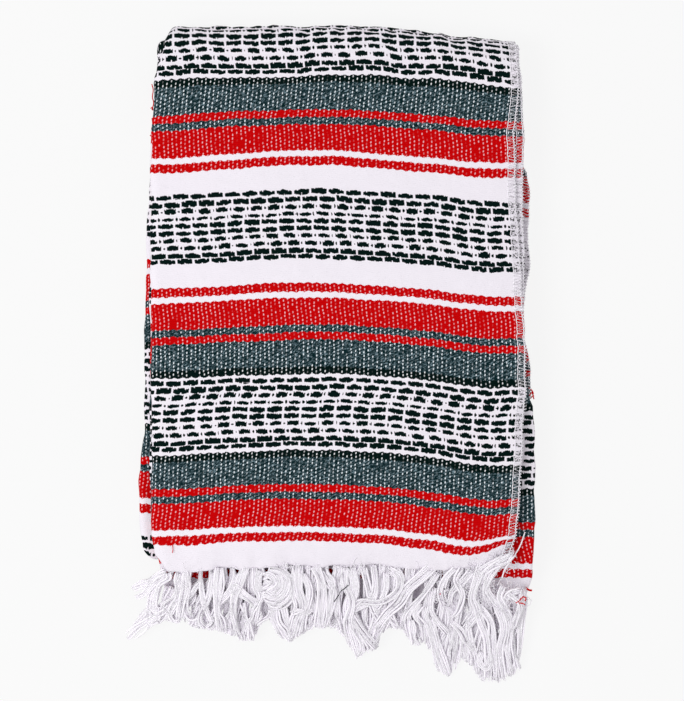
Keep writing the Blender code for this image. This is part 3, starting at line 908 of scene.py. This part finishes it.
def yarns_object(name, yarns, finish, sides):
    """One piece from many yarns, each a path and its radii."""
    vertices, faces, cloth, start = [], [], [], 0
    for path, radii in yarns:
        points, walls, caps, coordinates = tube(path, radii, sides)
        vertices.append(points)
        faces += (walls + start).tolist() + (caps + start).tolist()
        cloth.append(coordinates)
        start += len(points)
    return mesh_object(name, np.concatenate(vertices), faces, np.concatenate(cloth), finish)


# Fringe. Columns: x of a root in the photo, how far its tip moves sideways, in pixels.
FRINGE_SWAY_PX = ((160, -24), (190, -14), (270, -6), (370, -6), (450, -4), (530, -10))
# The lower outline of the fringe in the photo. Columns: x and y in pixels.
FRINGE_OUTLINE_PX = (
    (124, 632), (128, 640), (137, 639), (149, 628), (165, 621), (181, 623), (197, 629), (213, 631),
    (229, 635), (238, 641), (253, 642), (258, 632), (262, 622), (270, 619), (277, 635), (290, 643),
    (300, 636), (309, 631), (320, 629), (333, 628), (345, 639), (357, 661), (364, 653), (378, 651),
    (382, 634), (390, 628), (403, 630), (411, 644), (417, 648), (424, 641), (430, 655), (437, 671),
    (449, 677), (457, 668), (461, 659), (468, 664), (484, 684), (505, 682), (514, 674), (521, 670),
    (523, 640), (526, 600),
)
# The right outline of the fringe in the photo. Columns: y and x in pixels.
FRINGE_RIGHT_PX = (
    (590, 530), (598, 526), (606, 524), (614, 521.5), (622, 518), (630, 513), (646, 514.5), (654, 515),
    (662, 518), (670, 521.5), (678, 512),
)
# Height of the top of the fringe above the floor. Columns: y, height.
FRINGE_HEIGHT = (
    (-0.292, 0.0030), (-0.276, 0.0075), (-0.256, 0.0130), (-0.236, 0.0195), (-0.216, 0.0265),
    (-0.200, 0.0338), (-0.186, 0.0388), (-0.178, 0.0422),
)
# Where the lower fringe starts, under the upper one. Columns: x and y in pixels.
LOWER_HEM_PX = ((165, 588), (200, 596), (300, 600), (500, 602), (528, 600))
# Locks that lie on top of the fringe. Columns: plies, how far it stands above its neighbours in
# millimetres, then its route as x and y in the photo's pixels.
LOCKS_PX = (
    (6, 1.0, (166, 571.5), (156, 576), (148, 582), (140, 585), (131.5, 588.5)),
    (6, 0.0, (166, 573.5), (156, 580), (149, 588), (143, 594), (134.5, 597)),
    (5, -1.0, (164, 576), (156, 586), (150, 596), (148, 608), (150, 620)),
    (6, 0.0, (156, 618), (148, 621), (140, 626), (132, 633), (126, 638.5)),
    (5, 0.5, (157, 620), (151, 624), (146, 631), (142, 637), (134, 640)),
    (5, 1.0, (168, 573), (168.5, 579), (161, 587), (156, 596), (155, 606), (160, 611)),
    (5, 1.5, (182, 574), (181, 587), (172, 595), (164, 602), (163, 610)),
    (4, 0.5, (151, 600), (151.5, 609), (157, 614.5), (165, 611), (170, 605)),
    (4, -1.0, (166, 604), (160, 613), (158, 621)),
    (5, 1.0, (178, 573), (176, 582), (177, 596), (171, 612), (165, 620)),
    (7, 1.5, (186, 571), (185, 590), (181, 606), (179, 622)),
    (4, 1.0, (180, 590), (175, 602), (170, 613), (174, 621), (181, 621)),
    (4, 0.5, (190, 575), (187, 592), (187, 607), (192, 616), (199, 612)),
    (4, 2.0, (201, 571), (202, 588), (204, 603), (208, 613), (213, 623), (207, 629)),
    (4, 2.5, (211, 572), (210.5, 590), (206, 604), (200, 614), (200, 622), (205, 629)),
    (8, 2.0, (220, 568), (218, 588), (218, 610), (221, 632)),
    (5, 1.5, (238, 569), (231, 588), (219, 605), (213, 618)),
    (6, 2.0, (246, 567), (239, 586), (234, 598), (233, 615), (240, 640)),
    (8, 2.5, (231, 586), (239, 592), (249, 599), (257, 606)),
    (5, 1.0, (255, 568), (255, 586), (259, 598), (249, 616), (245, 634)),
    (4, 0.0, (243, 603), (247, 616), (250, 628), (252, 640)),
    (5, 0.0, (262, 612), (268, 614), (262, 620), (256, 624)),
    (7, 2.0, (267, 570), (279, 572), (288, 580), (291, 592), (285, 602), (273, 606), (263, 602)),
    (6, 2.2, (261, 571), (258, 579), (259, 587), (264, 592)),
    (5, 1.5, (281, 570), (289, 577), (291, 589), (286, 600)),
    (6, 3.4, (261, 577), (268, 575), (274, 579), (273, 587), (265, 591), (259, 590)),
    (6, 3.0, (285, 575), (287, 585), (283, 594), (276, 600), (267, 602)),
    (5, 4.0, (277, 573), (281, 581), (279, 589), (274, 594), (271, 600)),
    (5, 4.4, (282, 579), (277, 587), (270, 592), (264, 599)),
    (4, 3.6, (261, 596), (266, 595), (271, 597), (277, 595), (283, 590)),
    (4, 2.8, (262, 600), (268, 604), (277, 604), (285, 600)),
    (3, 4.6, (264, 581), (270, 583), (276, 582)),
    (8, 1.0, (273, 606), (276, 621), (283, 632), (290, 641)),
    (5, 0.5, (283, 607), (286, 620), (289, 634), (292, 640)),
    (9, 2.5, (297, 566), (297, 589), (301, 606), (296, 622), (292, 640)),
    (5, 1.5, (303, 574), (309, 588), (308, 603), (303, 622), (302, 632)),
    (3, 4.0, (290, 613), (300, 611), (306, 612), (313, 609)),
    (8, 2.0, (315, 566), (322, 584), (322, 604), (320, 628)),
    (5, 1.5, (327, 570), (333, 583), (332, 598), (328, 627)),
    (5, 1.0, (321, 572), (333, 591), (330, 610), (324, 626)),
    (7, 2.0, (346, 568), (345, 582), (352, 602), (348, 622), (353, 642), (358, 659)),
    (7, 2.0, (352, 568), (355, 588), (350, 607), (357, 622), (368, 637), (379, 650)),
    (4, 1.0, (349, 610), (354, 628), (362, 642), (365, 652)),
    (5, 1.5, (364, 568), (368, 584), (373, 606), (381, 622)),
    (5, 2.0, (374, 566), (376, 582), (373, 598), (362, 606), (352, 613)),
    (6, 3.0, (389, 569), (399, 577), (397, 591), (380, 602), (360, 602), (351, 612)),
    (4, 2.0, (386, 573), (386, 588), (379, 604), (374, 608)),
    (5, 1.5, (396, 569), (402, 580), (395, 596), (382, 603)),
    (4, 1.0, (389, 612), (395, 624), (398, 628)),
    (8, 3.0, (434, 564), (421, 577), (408, 589), (399, 602), (387, 614), (376, 629)),
    (6, 3.0, (437, 572), (429, 586), (420, 599), (408, 613), (405, 623)),
    (4, 2.0, (422, 604), (416, 614), (421, 622), (423, 626)),
    (5, 1.0, (433, 588), (431, 607), (437, 620), (448, 634)),
    (6, 1.0, (424, 606), (428, 622), (434, 644), (438, 666)),
    (7, 1.5, (430, 617), (436, 642), (443, 664), (449, 676)),
    (4, 1.0, (412, 620), (413, 634), (416, 646)),
    (8, 3.0, (484, 561), (477, 581), (472, 598), (475, 612), (464, 629)),
    (6, 2.0, (472, 570), (462, 582), (452, 592), (449, 606)),
    (6, 2.0, (475, 600), (481, 621), (487, 638), (489, 664), (489, 682)),
    (6, 1.5, (478, 606), (491, 622), (494, 646), (497, 681)),
    (6, 1.5, (496, 604), (504, 626), (500, 652), (504, 680)),
    (6, 1.0, (500, 598), (510, 621), (508, 646), (513, 674)),
    (3, 0.5, (514, 620), (516, 650), (522, 671)),
    (5, 1.0, (452, 622), (461, 632), (467, 643), (474, 651)),
    (5, 2.0, (523, 590), (521, 604), (516, 620), (512, 634)),
    (5, 2.0, (503, 586), (499, 597), (505, 609), (512, 621)),
    (3, 3.0, (506, 592), (512, 596), (519, 603), (520, 612), (514, 616)),
    (5, 2.5, (490, 574), (487, 588), (494, 600), (504, 610)),
    (4, 2.0, (482, 652), (480, 662), (487, 668), (489, 658), (484, 652)),
    (6, 3.5, (514, 553), (505, 560), (494, 566), (484, 574), (478, 590)),
    (5, 3.0, (509, 556), (497, 561), (485, 567), (473, 576), (466, 590)),
    (5, 2.5, (507, 560), (497, 567), (489, 577), (485, 592), (490, 606)),
    (4, 2.0, (520, 590), (511, 593), (504, 602), (500, 616)),
    (5, 2.0, (455, 568), (446, 578), (441, 592), (445, 606)),
    (4, 2.0, (462, 568), (456, 580), (462, 594), (458, 610), (452, 618)),
)
# Places where the yarns part over what lies below. Columns: left, right, upper and lower pixel.
FRINGE_GAPS_PX = (
    (191.3, 198.6, 568, 579), (203.4, 208.4, 568, 577), (227, 229.5, 564, 571), (235, 240, 564, 568.5),
    (264.5, 268.5, 564, 568), (328.5, 333.5, 564, 570.5), (161.5, 171.5, 587, 596), (189.5, 194, 602, 609),
    (222, 228.5, 606, 611), (247, 251, 608, 615), (239, 242, 621, 628), (262, 268, 606, 613),
)
GAP_EASE_PX = 9.0
# Patches of fine loose hair. Columns: left, right, upper and lower pixel, number of hairs.
HAIR_PATCHES_PX = (
    (466, 496, 560, 612, 120), (496, 512, 552, 568, 40), (498, 525, 585, 614, 70),
    (430, 472, 574, 614, 70), (160, 490, 565, 576, 50),
)
STITCH_PITCH = 0.0027
STITCH_INSET = 0.0066
STITCH_RADIUS = 0.00060
STITCH_START = 0.004
# Lines of thread along a selvedge. Columns: inset, radius.
STITCH_LINES = ((STITCH_INSET, 0.00042), (0.0010, 0.00046))
YARN_RADIUS = 0.00108
PLY_SPACING = 0.00142
PLY_SHARE = 0.90
FILL_STEPS = 22
LOCK_STEPS = 32


def smooth_route(points, steps):
    """A curve through points, with even parameters between them."""
    points = np.array(points, float)
    padded = np.concatenate([2 * points[:1] - points[1:2], points, 2 * points[-1:] - points[-2:-1]])
    places = np.linspace(0, len(points) - 1, steps)
    index = np.minimum(places.astype(int), len(points) - 2)
    t = (places - index)[:, None]
    a, b, c, d = (padded[index + k] for k in range(4))
    squared, cubed = 2 * a - 5 * b + 4 * c - d, 3 * b - a - 3 * c + d
    return 0.5 * (2 * b + (c - a) * t + squared * t ** 2 + cubed * t ** 3)


def fringe_top(x, y):
    """Height of the top of the fringe, lower beside the cloth."""
    beside = 0.45 + 0.55 * eased((x + 0.178) / 0.030) * eased((0.178 - x) / 0.020)
    return straight_row(FRINGE_HEIGHT, y) * beside


def parted(path):
    """Bend a ply sideways round each gap in the fringe, and keep it inside the right outline."""
    x, y = path[:, 0].copy(), path[:, 1]
    for left, right, upper, lower in FRINGE_GAPS_PX:
        near = eased((y - upper + GAP_EASE_PX) / GAP_EASE_PX)
        near = near * eased((lower + GAP_EASE_PX - y) / GAP_EASE_PX)
        if near.max() < 0.01:
            continue
        middle, half = (left + right) / 2, (right - left) / 2 + 0.8
        side = 1.0 if ((x - middle) * near).sum() > 0 else -1.0
        away = (x - middle) * side
        moved = np.where(away < 1.8 * half, half + 0.444 * np.maximum(away, 0.0), away)
        x += side * (moved - away) * near
    return np.column_stack([np.minimum(x, straight_row(FRINGE_RIGHT_PX, y)), y])


def inside_outline(path):
    """How many points of a ply come before it crosses the lower outline of the fringe."""
    outside = path[:, 1] > straight_row(FRINGE_OUTLINE_PX, path[:, 0]) + 0.3
    return int(np.argmax(outside)) if outside.any() else len(path)


def ribbon(random, route, plies, lift, sunk, steps, deep=False):
    """Plies side by side along a route of the photo's pixels, as paths with their radii."""
    share = np.linspace(0.0, 1.0, steps)
    centre = smooth_route(route, steps)
    ahead = np.gradient(centre, axis=0)
    ahead /= np.linalg.norm(ahead, axis=1, keepdims=True) + 1e-9
    side = np.stack([-ahead[:, 1], ahead[:, 0]], axis=1)
    phase = random.uniform(0, 2 * math.pi)
    turn = random.uniform(-0.9, 0.9)
    yarns = []
    plies = max(2, round(plies * PLY_SHARE))
    for ply in range(plies):
        place = (ply - (plies - 1) / 2) * PLY_SPACING
        rank = 2 * ply / max(plies - 1, 1) - 1
        angle = turn * np.sin(math.pi * share * 1.4 + phase)
        spread = 0.92 + 0.16 * np.sin(share * 5.0 + phase) - 0.10 * eased((share - 0.8) / 0.2)
        stray = random.normal(0.0, 0.00045, 3)
        wander = stray[0] * np.sin(share * random.uniform(4, 12) + phase) + stray[1] * share * 1.6
        off = (place * spread * np.cos(angle) + wander) / PIXEL
        rise = np.abs(place * np.sin(angle)) * 0.8 + random.uniform(-0.0004, 0.0004)
        path = centre + side * off[:, None]
        path = path if deep else parted(path)
        rough_x, rough_y = on_photo(path[:, 0], path[:, 1], 0.02)
        arch = np.sin(math.pi * np.clip(share + 0.1, 0, 1))
        tucked = 0.0006 * lift * (1.0 - eased(share / 0.14)) if lift >= 2.5 else 0.0
        height = fringe_top(rough_x, rough_y) * (1.0 - sunk) + lift * 0.0006 * arch + rise - tucked
        height = np.maximum(height, 0.0012)
        x, y = on_photo(path[:, 0], path[:, 1], height)
        shorter = 0.03 * rank * rank + 0.012 * abs(random.normal())
        keep = max(min(int(round(steps * (1.0 - shorter))), inside_outline(path)), 6)
        full = np.column_stack([x, y, height])[:keep]
        along = np.linspace(0, 1, keep)
        taper = (1.0 - 0.45 * along ** 12) * (0.55 + 0.45 * eased(along / 0.10))
        yarns.append((full, YARN_RADIUS * taper * random.uniform(0.85, 1.12)))
    return yarns


def laid_locks(seed):
    """The locks laid one by one along their listed routes."""
    random = np.random.default_rng(seed)
    yarns = []
    for plies, lift, *route in LOCKS_PX:
        yarns += ribbon(random, route, plies, lift, 0.0, LOCK_STEPS)
    return yarns


def filling_locks(seed, first_px, last_px, root_row, reach, sunk, count, plies, deep):
    """Locks under the laid ones, which sway and cross inside the outline of the fringe."""
    random = np.random.default_rng(seed)
    yarns = []
    for index in range(count):
        root_x = first_px + (last_px - first_px) * (index + random.uniform(0.2, 0.8)) / count
        root_y = straight_row(root_row, root_x) - 3.0
        tip_x = root_x + float(row_at(FRINGE_SWAY_PX, root_x)[0]) + random.normal(0.0, 7.0)
        tip_y = straight_row(FRINGE_OUTLINE_PX, tip_x) - 1.0
        tip_y = root_y + (tip_y - root_y) * random.uniform(*reach)
        swing = random.normal(0.0, 4.0, 2)
        route = [(root_x, root_y),
                 (root_x + (tip_x - root_x) * 0.22 + swing[0] * 0.6, root_y + (tip_y - root_y) * 0.30),
                 (root_x + (tip_x - root_x) * 0.60 + swing[1], root_y + (tip_y - root_y) * 0.66),
                 (tip_x, tip_y)]
        yarns += ribbon(random, route, plies, 0.0, random.uniform(*sunk), FILL_STEPS, deep)
    return yarns


def loose_hairs(seed):
    """Short curled fibres over the fringe and along the hem."""
    random = np.random.default_rng(seed)
    yarns = []
    for left, right, upper, lower, count in HAIR_PATCHES_PX:
        for _ in range(count):
            steps = 9
            heading = random.uniform(0, 2 * math.pi)
            bends = heading + np.cumsum(random.normal(0.0, 0.45, steps) + random.normal(0.0, 0.35))
            stride = random.uniform(0.9, 1.7)
            x = random.uniform(left, right) + np.cumsum(np.cos(bends)) * stride
            y = random.uniform(upper, lower) + np.cumsum(np.sin(bends)) * stride
            rough_x, rough_y = on_photo(x, y, 0.02)
            height = fringe_top(rough_x, rough_y) + random.uniform(0.0005, 0.0020)
            x, y = on_photo(x, y, height)
            radius = random.uniform(0.00020, 0.00034)
            yarns.append((np.column_stack([x, y, height]), np.full(steps, radius)))
    return yarns


# Loose threads. Columns: colour, then radius, height at the start and height at the end in
# millimetres, then the route in pixels.
THREADS_PX = (
    ("red", 0.35, 46.2, 46.2, (172.3, 545), (173.0, 549), (172.4, 553)),
    ("dark", 0.40, 37.5, 32.0, (348.5, 585), (344, 589), (341, 591), (338, 596), (334, 602)),
    ("white", 0.60, 36.5, 45.5, (525, 532), (520, 546), (512, 559), (505, 569), (502, 578)),
    ("red", 0.85, 20.0, 20.0, (526, 588), (529, 590), (532, 590.5)),
    ("red", 0.60, 29.0, 24.0, (528.6, 388), (531.5, 390), (533.4, 393.5)),
    ("red", 0.60, 29.0, 25.0, (529.5, 395.5), (531.8, 392.5), (533.6, 396.5)),
    ("red", 0.50, 28.0, 25.0, (530.5, 398.5), (532.6, 396.2), (534.0, 399.0)),
    ("red", 0.50, 29.5, 27.5, (516, 603), (520, 600), (523, 597), (526, 598), (525, 601)),
    ("red", 0.45, 29.5, 28.0, (519, 603), (523, 603.5), (525, 605)),
    ("red", 0.45, 37.0, 37.0, (449, 563.5), (450, 564.3)),
    ("red", 0.45, 36.0, 36.0, (440, 593.5), (440.6, 594.5)),
    ("dark", 0.50, 37.5, 37.0, (444, 588.5), (445, 589.4)),
    ("red", 0.45, 38.0, 38.0, (151.8, 84), (153.2, 90), (152.4, 97), (153.6, 103), (152.0, 110)),
    ("red", 0.50, 36.0, 36.0, (150.6, 108.6), (152.4, 107.4), (153.0, 110.5)),
    ("red", 0.45, 38.0, 38.0, (152.0, 118), (152.6, 124), (151.6, 129)),
    ("red", 0.50, 36.0, 36.0, (150.0, 136), (152.2, 134.6), (151.8, 138.4)),
)


def loose_threads(colour, finish):
    yarns = []
    for name, radius, start, end, *route in THREADS_PX:
        if name == colour:
            flat = smooth_route(route, 5 * len(route))
            height = np.linspace(start, end, len(flat)) / 1000
            path = np.column_stack([*on_photo(flat[:, 0], flat[:, 1], height), height])
            yarns.append((path, np.full(len(path), radius / 1000)))
    return yarns_object(colour + "_threads", yarns, finish, 6)


def stitches(run, edge_of, level, first, last, finish, name):
    """Overlock stitching along a selvedge: zigzags on both faces, and thread wrapped round the edge."""
    low, high = level
    stations = [s for s in run if first - 0.01 <= s.along <= last + 0.01]
    along = np.array([s.along for s in stations])
    edges = [edge_of(s) for s in stations]

    def beside_edge(inset, lift):
        return np.array([s.placed(np.array(e - inset), np.array(high + lift))
                         for s, e in zip(stations, edges)])

    edge = beside_edge(0.0, 0.0)
    inward, outward = (beside_edge(0.01, 0.0) - edge) / 0.01, (beside_edge(0.0, 0.001) - edge) / 0.001

    def points(where, x_in, lift):
        parts = [np.stack([np.interp(where, along, table[:, c]) for c in range(3)], axis=-1)
                 for table in (edge, inward, outward)]
        made = parts[0] + parts[1] * np.reshape(x_in, (-1, 1)) + parts[2] * np.reshape(lift, (-1, 1))
        made[:, 2] = np.maximum(made[:, 2], STITCH_RADIUS)
        return made

    count = int((last - first) / STITCH_PITCH * 2)
    places = np.linspace(first, last, count + 1)
    random = np.random.default_rng(71)
    yarns = []
    for face in (high, low):
        x_in = np.where(np.arange(count + 1) % 2, 0.0003, STITCH_INSET)
        x_in = x_in + random.normal(0.0, 0.0005, count + 1)
        where = places + random.normal(0.0, 0.00030, count + 1)
        zigzag = points(where, x_in, np.full(count + 1, face - high))
        yarns.append((zigzag, np.full(count + 1, STITCH_RADIUS)))
    for x_in, radius in STITCH_LINES:
        line = points(places, x_in + 0.0002 * np.sin(places * 900), np.zeros(count + 1))
        yarns.append((line, np.full(count + 1, radius)))
    for where in places[1::2]:
        around = points(np.full(4, where), [0.0016, -0.0002, -0.0002, 0.0016],
                        [0.0, -0.0004, low - high + 0.0004, low - high])
        yarns.append((around, np.full(4, STITCH_RADIUS)))
    return yarns_object(name, yarns, finish, 5)


def build_cloth(finish):
    """The four sheets, and the run of stations that the stitches follow."""
    fine_run, marks = whole_run(PICK, COARSE_STEP, FINE_BEND_STEPS)
    coarse_run = whole_run(COARSE_STEP, COARSE_STEP, COARSE_BEND_STEPS)[0]
    split = marks["split"]
    marks["top sheet"] = float(cloth_along(fine_run[split].along, marks["length"]))
    # Columns: piece, solid that it replaces, stations, section, columns across, whether it is on top.
    plan = (
        ("top_cloth", "top_panel", fine_run[:split + 1], wall_row, 170, True),
        ("under_cloth", "top_panel", fine_run[split:], wall_row, 40, False),
        ("inner_cloth", "inner_layers", coarse_run, inner_row, 44, False),
        ("second_cloth", "second_layer", coarse_run, second_row, 8, False),
    )
    sheets = []
    for name, solid, run, section, columns, top in plan:
        points, cloth = sheet_points(run, marks, section, columns, top)
        made = grid_object(name, points, cloth, finish)
        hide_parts(solid)
        sheets.append(made)
    return sheets, fine_run, marks


FLOOR_REACH = 6.0
FLOOR_DROP = 0.0004
FLOOR_COLOUR = (0.08, 0.08, 0.08, 1.0)
FLOOR_GLOW = 0.86
SKY_STRENGTH = 0.80
KEY_SIZE = 1.2
KEY_POWER = 26.0
KEY_PLACE = (-1.2, -0.3, 2.1)
LIGHT_WHITE = (1.0, 1.0, 1.0, 1.0)


def studio():
    """A pale floor, an even white sky and one soft key light."""
    floor_mesh = bpy.data.meshes.new("floor")
    reach = FLOOR_REACH
    corners = [(-reach, -reach, 0), (reach, -reach, 0), (reach, reach, 0), (-reach, reach, 0)]
    floor_mesh.from_pydata(corners, [], [(0, 1, 2, 3)])
    floor = bpy.data.objects.new("floor", floor_mesh)
    floor.location.z = -FLOOR_DROP
    finish = bpy.data.materials.new("floor")
    finish.use_nodes = True
    shader = finish.node_tree.nodes["Principled BSDF"]
    shader.inputs["Base Color"].default_value = FLOOR_COLOUR
    shader.inputs["Roughness"].default_value = 0.9
    shader.inputs["Specular IOR Level"].default_value = 0.0
    shader.inputs["Emission Color"].default_value = LIGHT_WHITE
    shader.inputs["Emission Strength"].default_value = FLOOR_GLOW
    floor_mesh.materials.append(finish)
    bpy.context.scene.collection.objects.link(floor)

    world = bpy.data.worlds.new("studio")
    world.use_nodes = True
    world.node_tree.nodes["Background"].inputs["Color"].default_value = LIGHT_WHITE
    world.node_tree.nodes["Background"].inputs["Strength"].default_value = SKY_STRENGTH
    bpy.context.scene.world = world

    light = bpy.data.lights.new("key", "AREA")
    light.shape = "DISK"
    light.size = KEY_SIZE
    light.energy = KEY_POWER
    key = bpy.data.objects.new("key", light)
    key.location = KEY_PLACE
    key.rotation_euler = (Vector((0, 0, 0)) - key.location).to_track_quat("-Z", "Y").to_euler()
    bpy.context.scene.collection.objects.link(key)

    scene = bpy.context.scene
    scene.view_settings.view_transform = "Standard"
    scene.view_settings.look = "None"


def camera():
    """Straight above the middle of the photo, with the blanket's top at the photo's scale."""
    data = bpy.data.cameras.new("photo")
    top = CAD_BOX[1][2]
    data.sensor_width = SENSOR_WIDTH
    data.lens = data.sensor_width * (CAMERA_HEIGHT - top) / (PHOTO_HEIGHT_PX * PIXEL)
    made = bpy.data.objects.new("photo", data)
    made.location = (CAMERA_X, CAMERA_Y, CAMERA_HEIGHT)
    bpy.context.scene.collection.objects.link(made)
    bpy.context.scene.camera = made


def main():
    camera()
    studio()
    cloth_finish = striped_cloth()
    yarn_finish = white_yarn("white_yarn", 0.30)
    thread_finish = white_yarn("stitch_thread", 0.05)
    sheets, run, marks = build_cloth(cloth_finish)

    upper = laid_locks(seed=7) + loose_hairs(seed=8)
    upper += filling_locks(seed=5, first_px=161, last_px=496, root_row=HEM_EDGE_PX, reach=(0.70, 1.00),
                           sunk=(0.03, 0.15), count=66, plies=5, deep=False)
    lower = filling_locks(seed=6, first_px=166, last_px=527, root_row=LOWER_HEM_PX, reach=(0.98, 1.10),
                          sunk=(0.18, 0.46), count=96, plies=6, deep=True)
    fringe_upper = yarns_object("upper_fringe", upper, yarn_finish, sides=4)
    fringe_lower = yarns_object("lower_fringe", lower, yarn_finish, sides=5)
    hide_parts("fringe_upper")
    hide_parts("fringe_lower")

    first = stitches(run, lambda s: right_edge(s, s.first, FIRST_SEED), WALL_FACES, STITCH_START,
                     marks["length"], thread_finish, "first_overlock")
    second = stitches(run, lambda s: right_edge(s, s.second, SECOND_SEED), STRIP_FACES, STITCH_START,
                      marks["length"], thread_finish, "second_overlock")
    white = loose_threads("white", yarn_finish)
    for name, colour in (("red", COLOURS[RED]), ("dark", DARK_THREAD)):
        loose_threads(name, dyed_yarn(name + "_yarn", colour))

    top_length = marks["top sheet"]
    CLOTH_LENGTH - top_length


main()
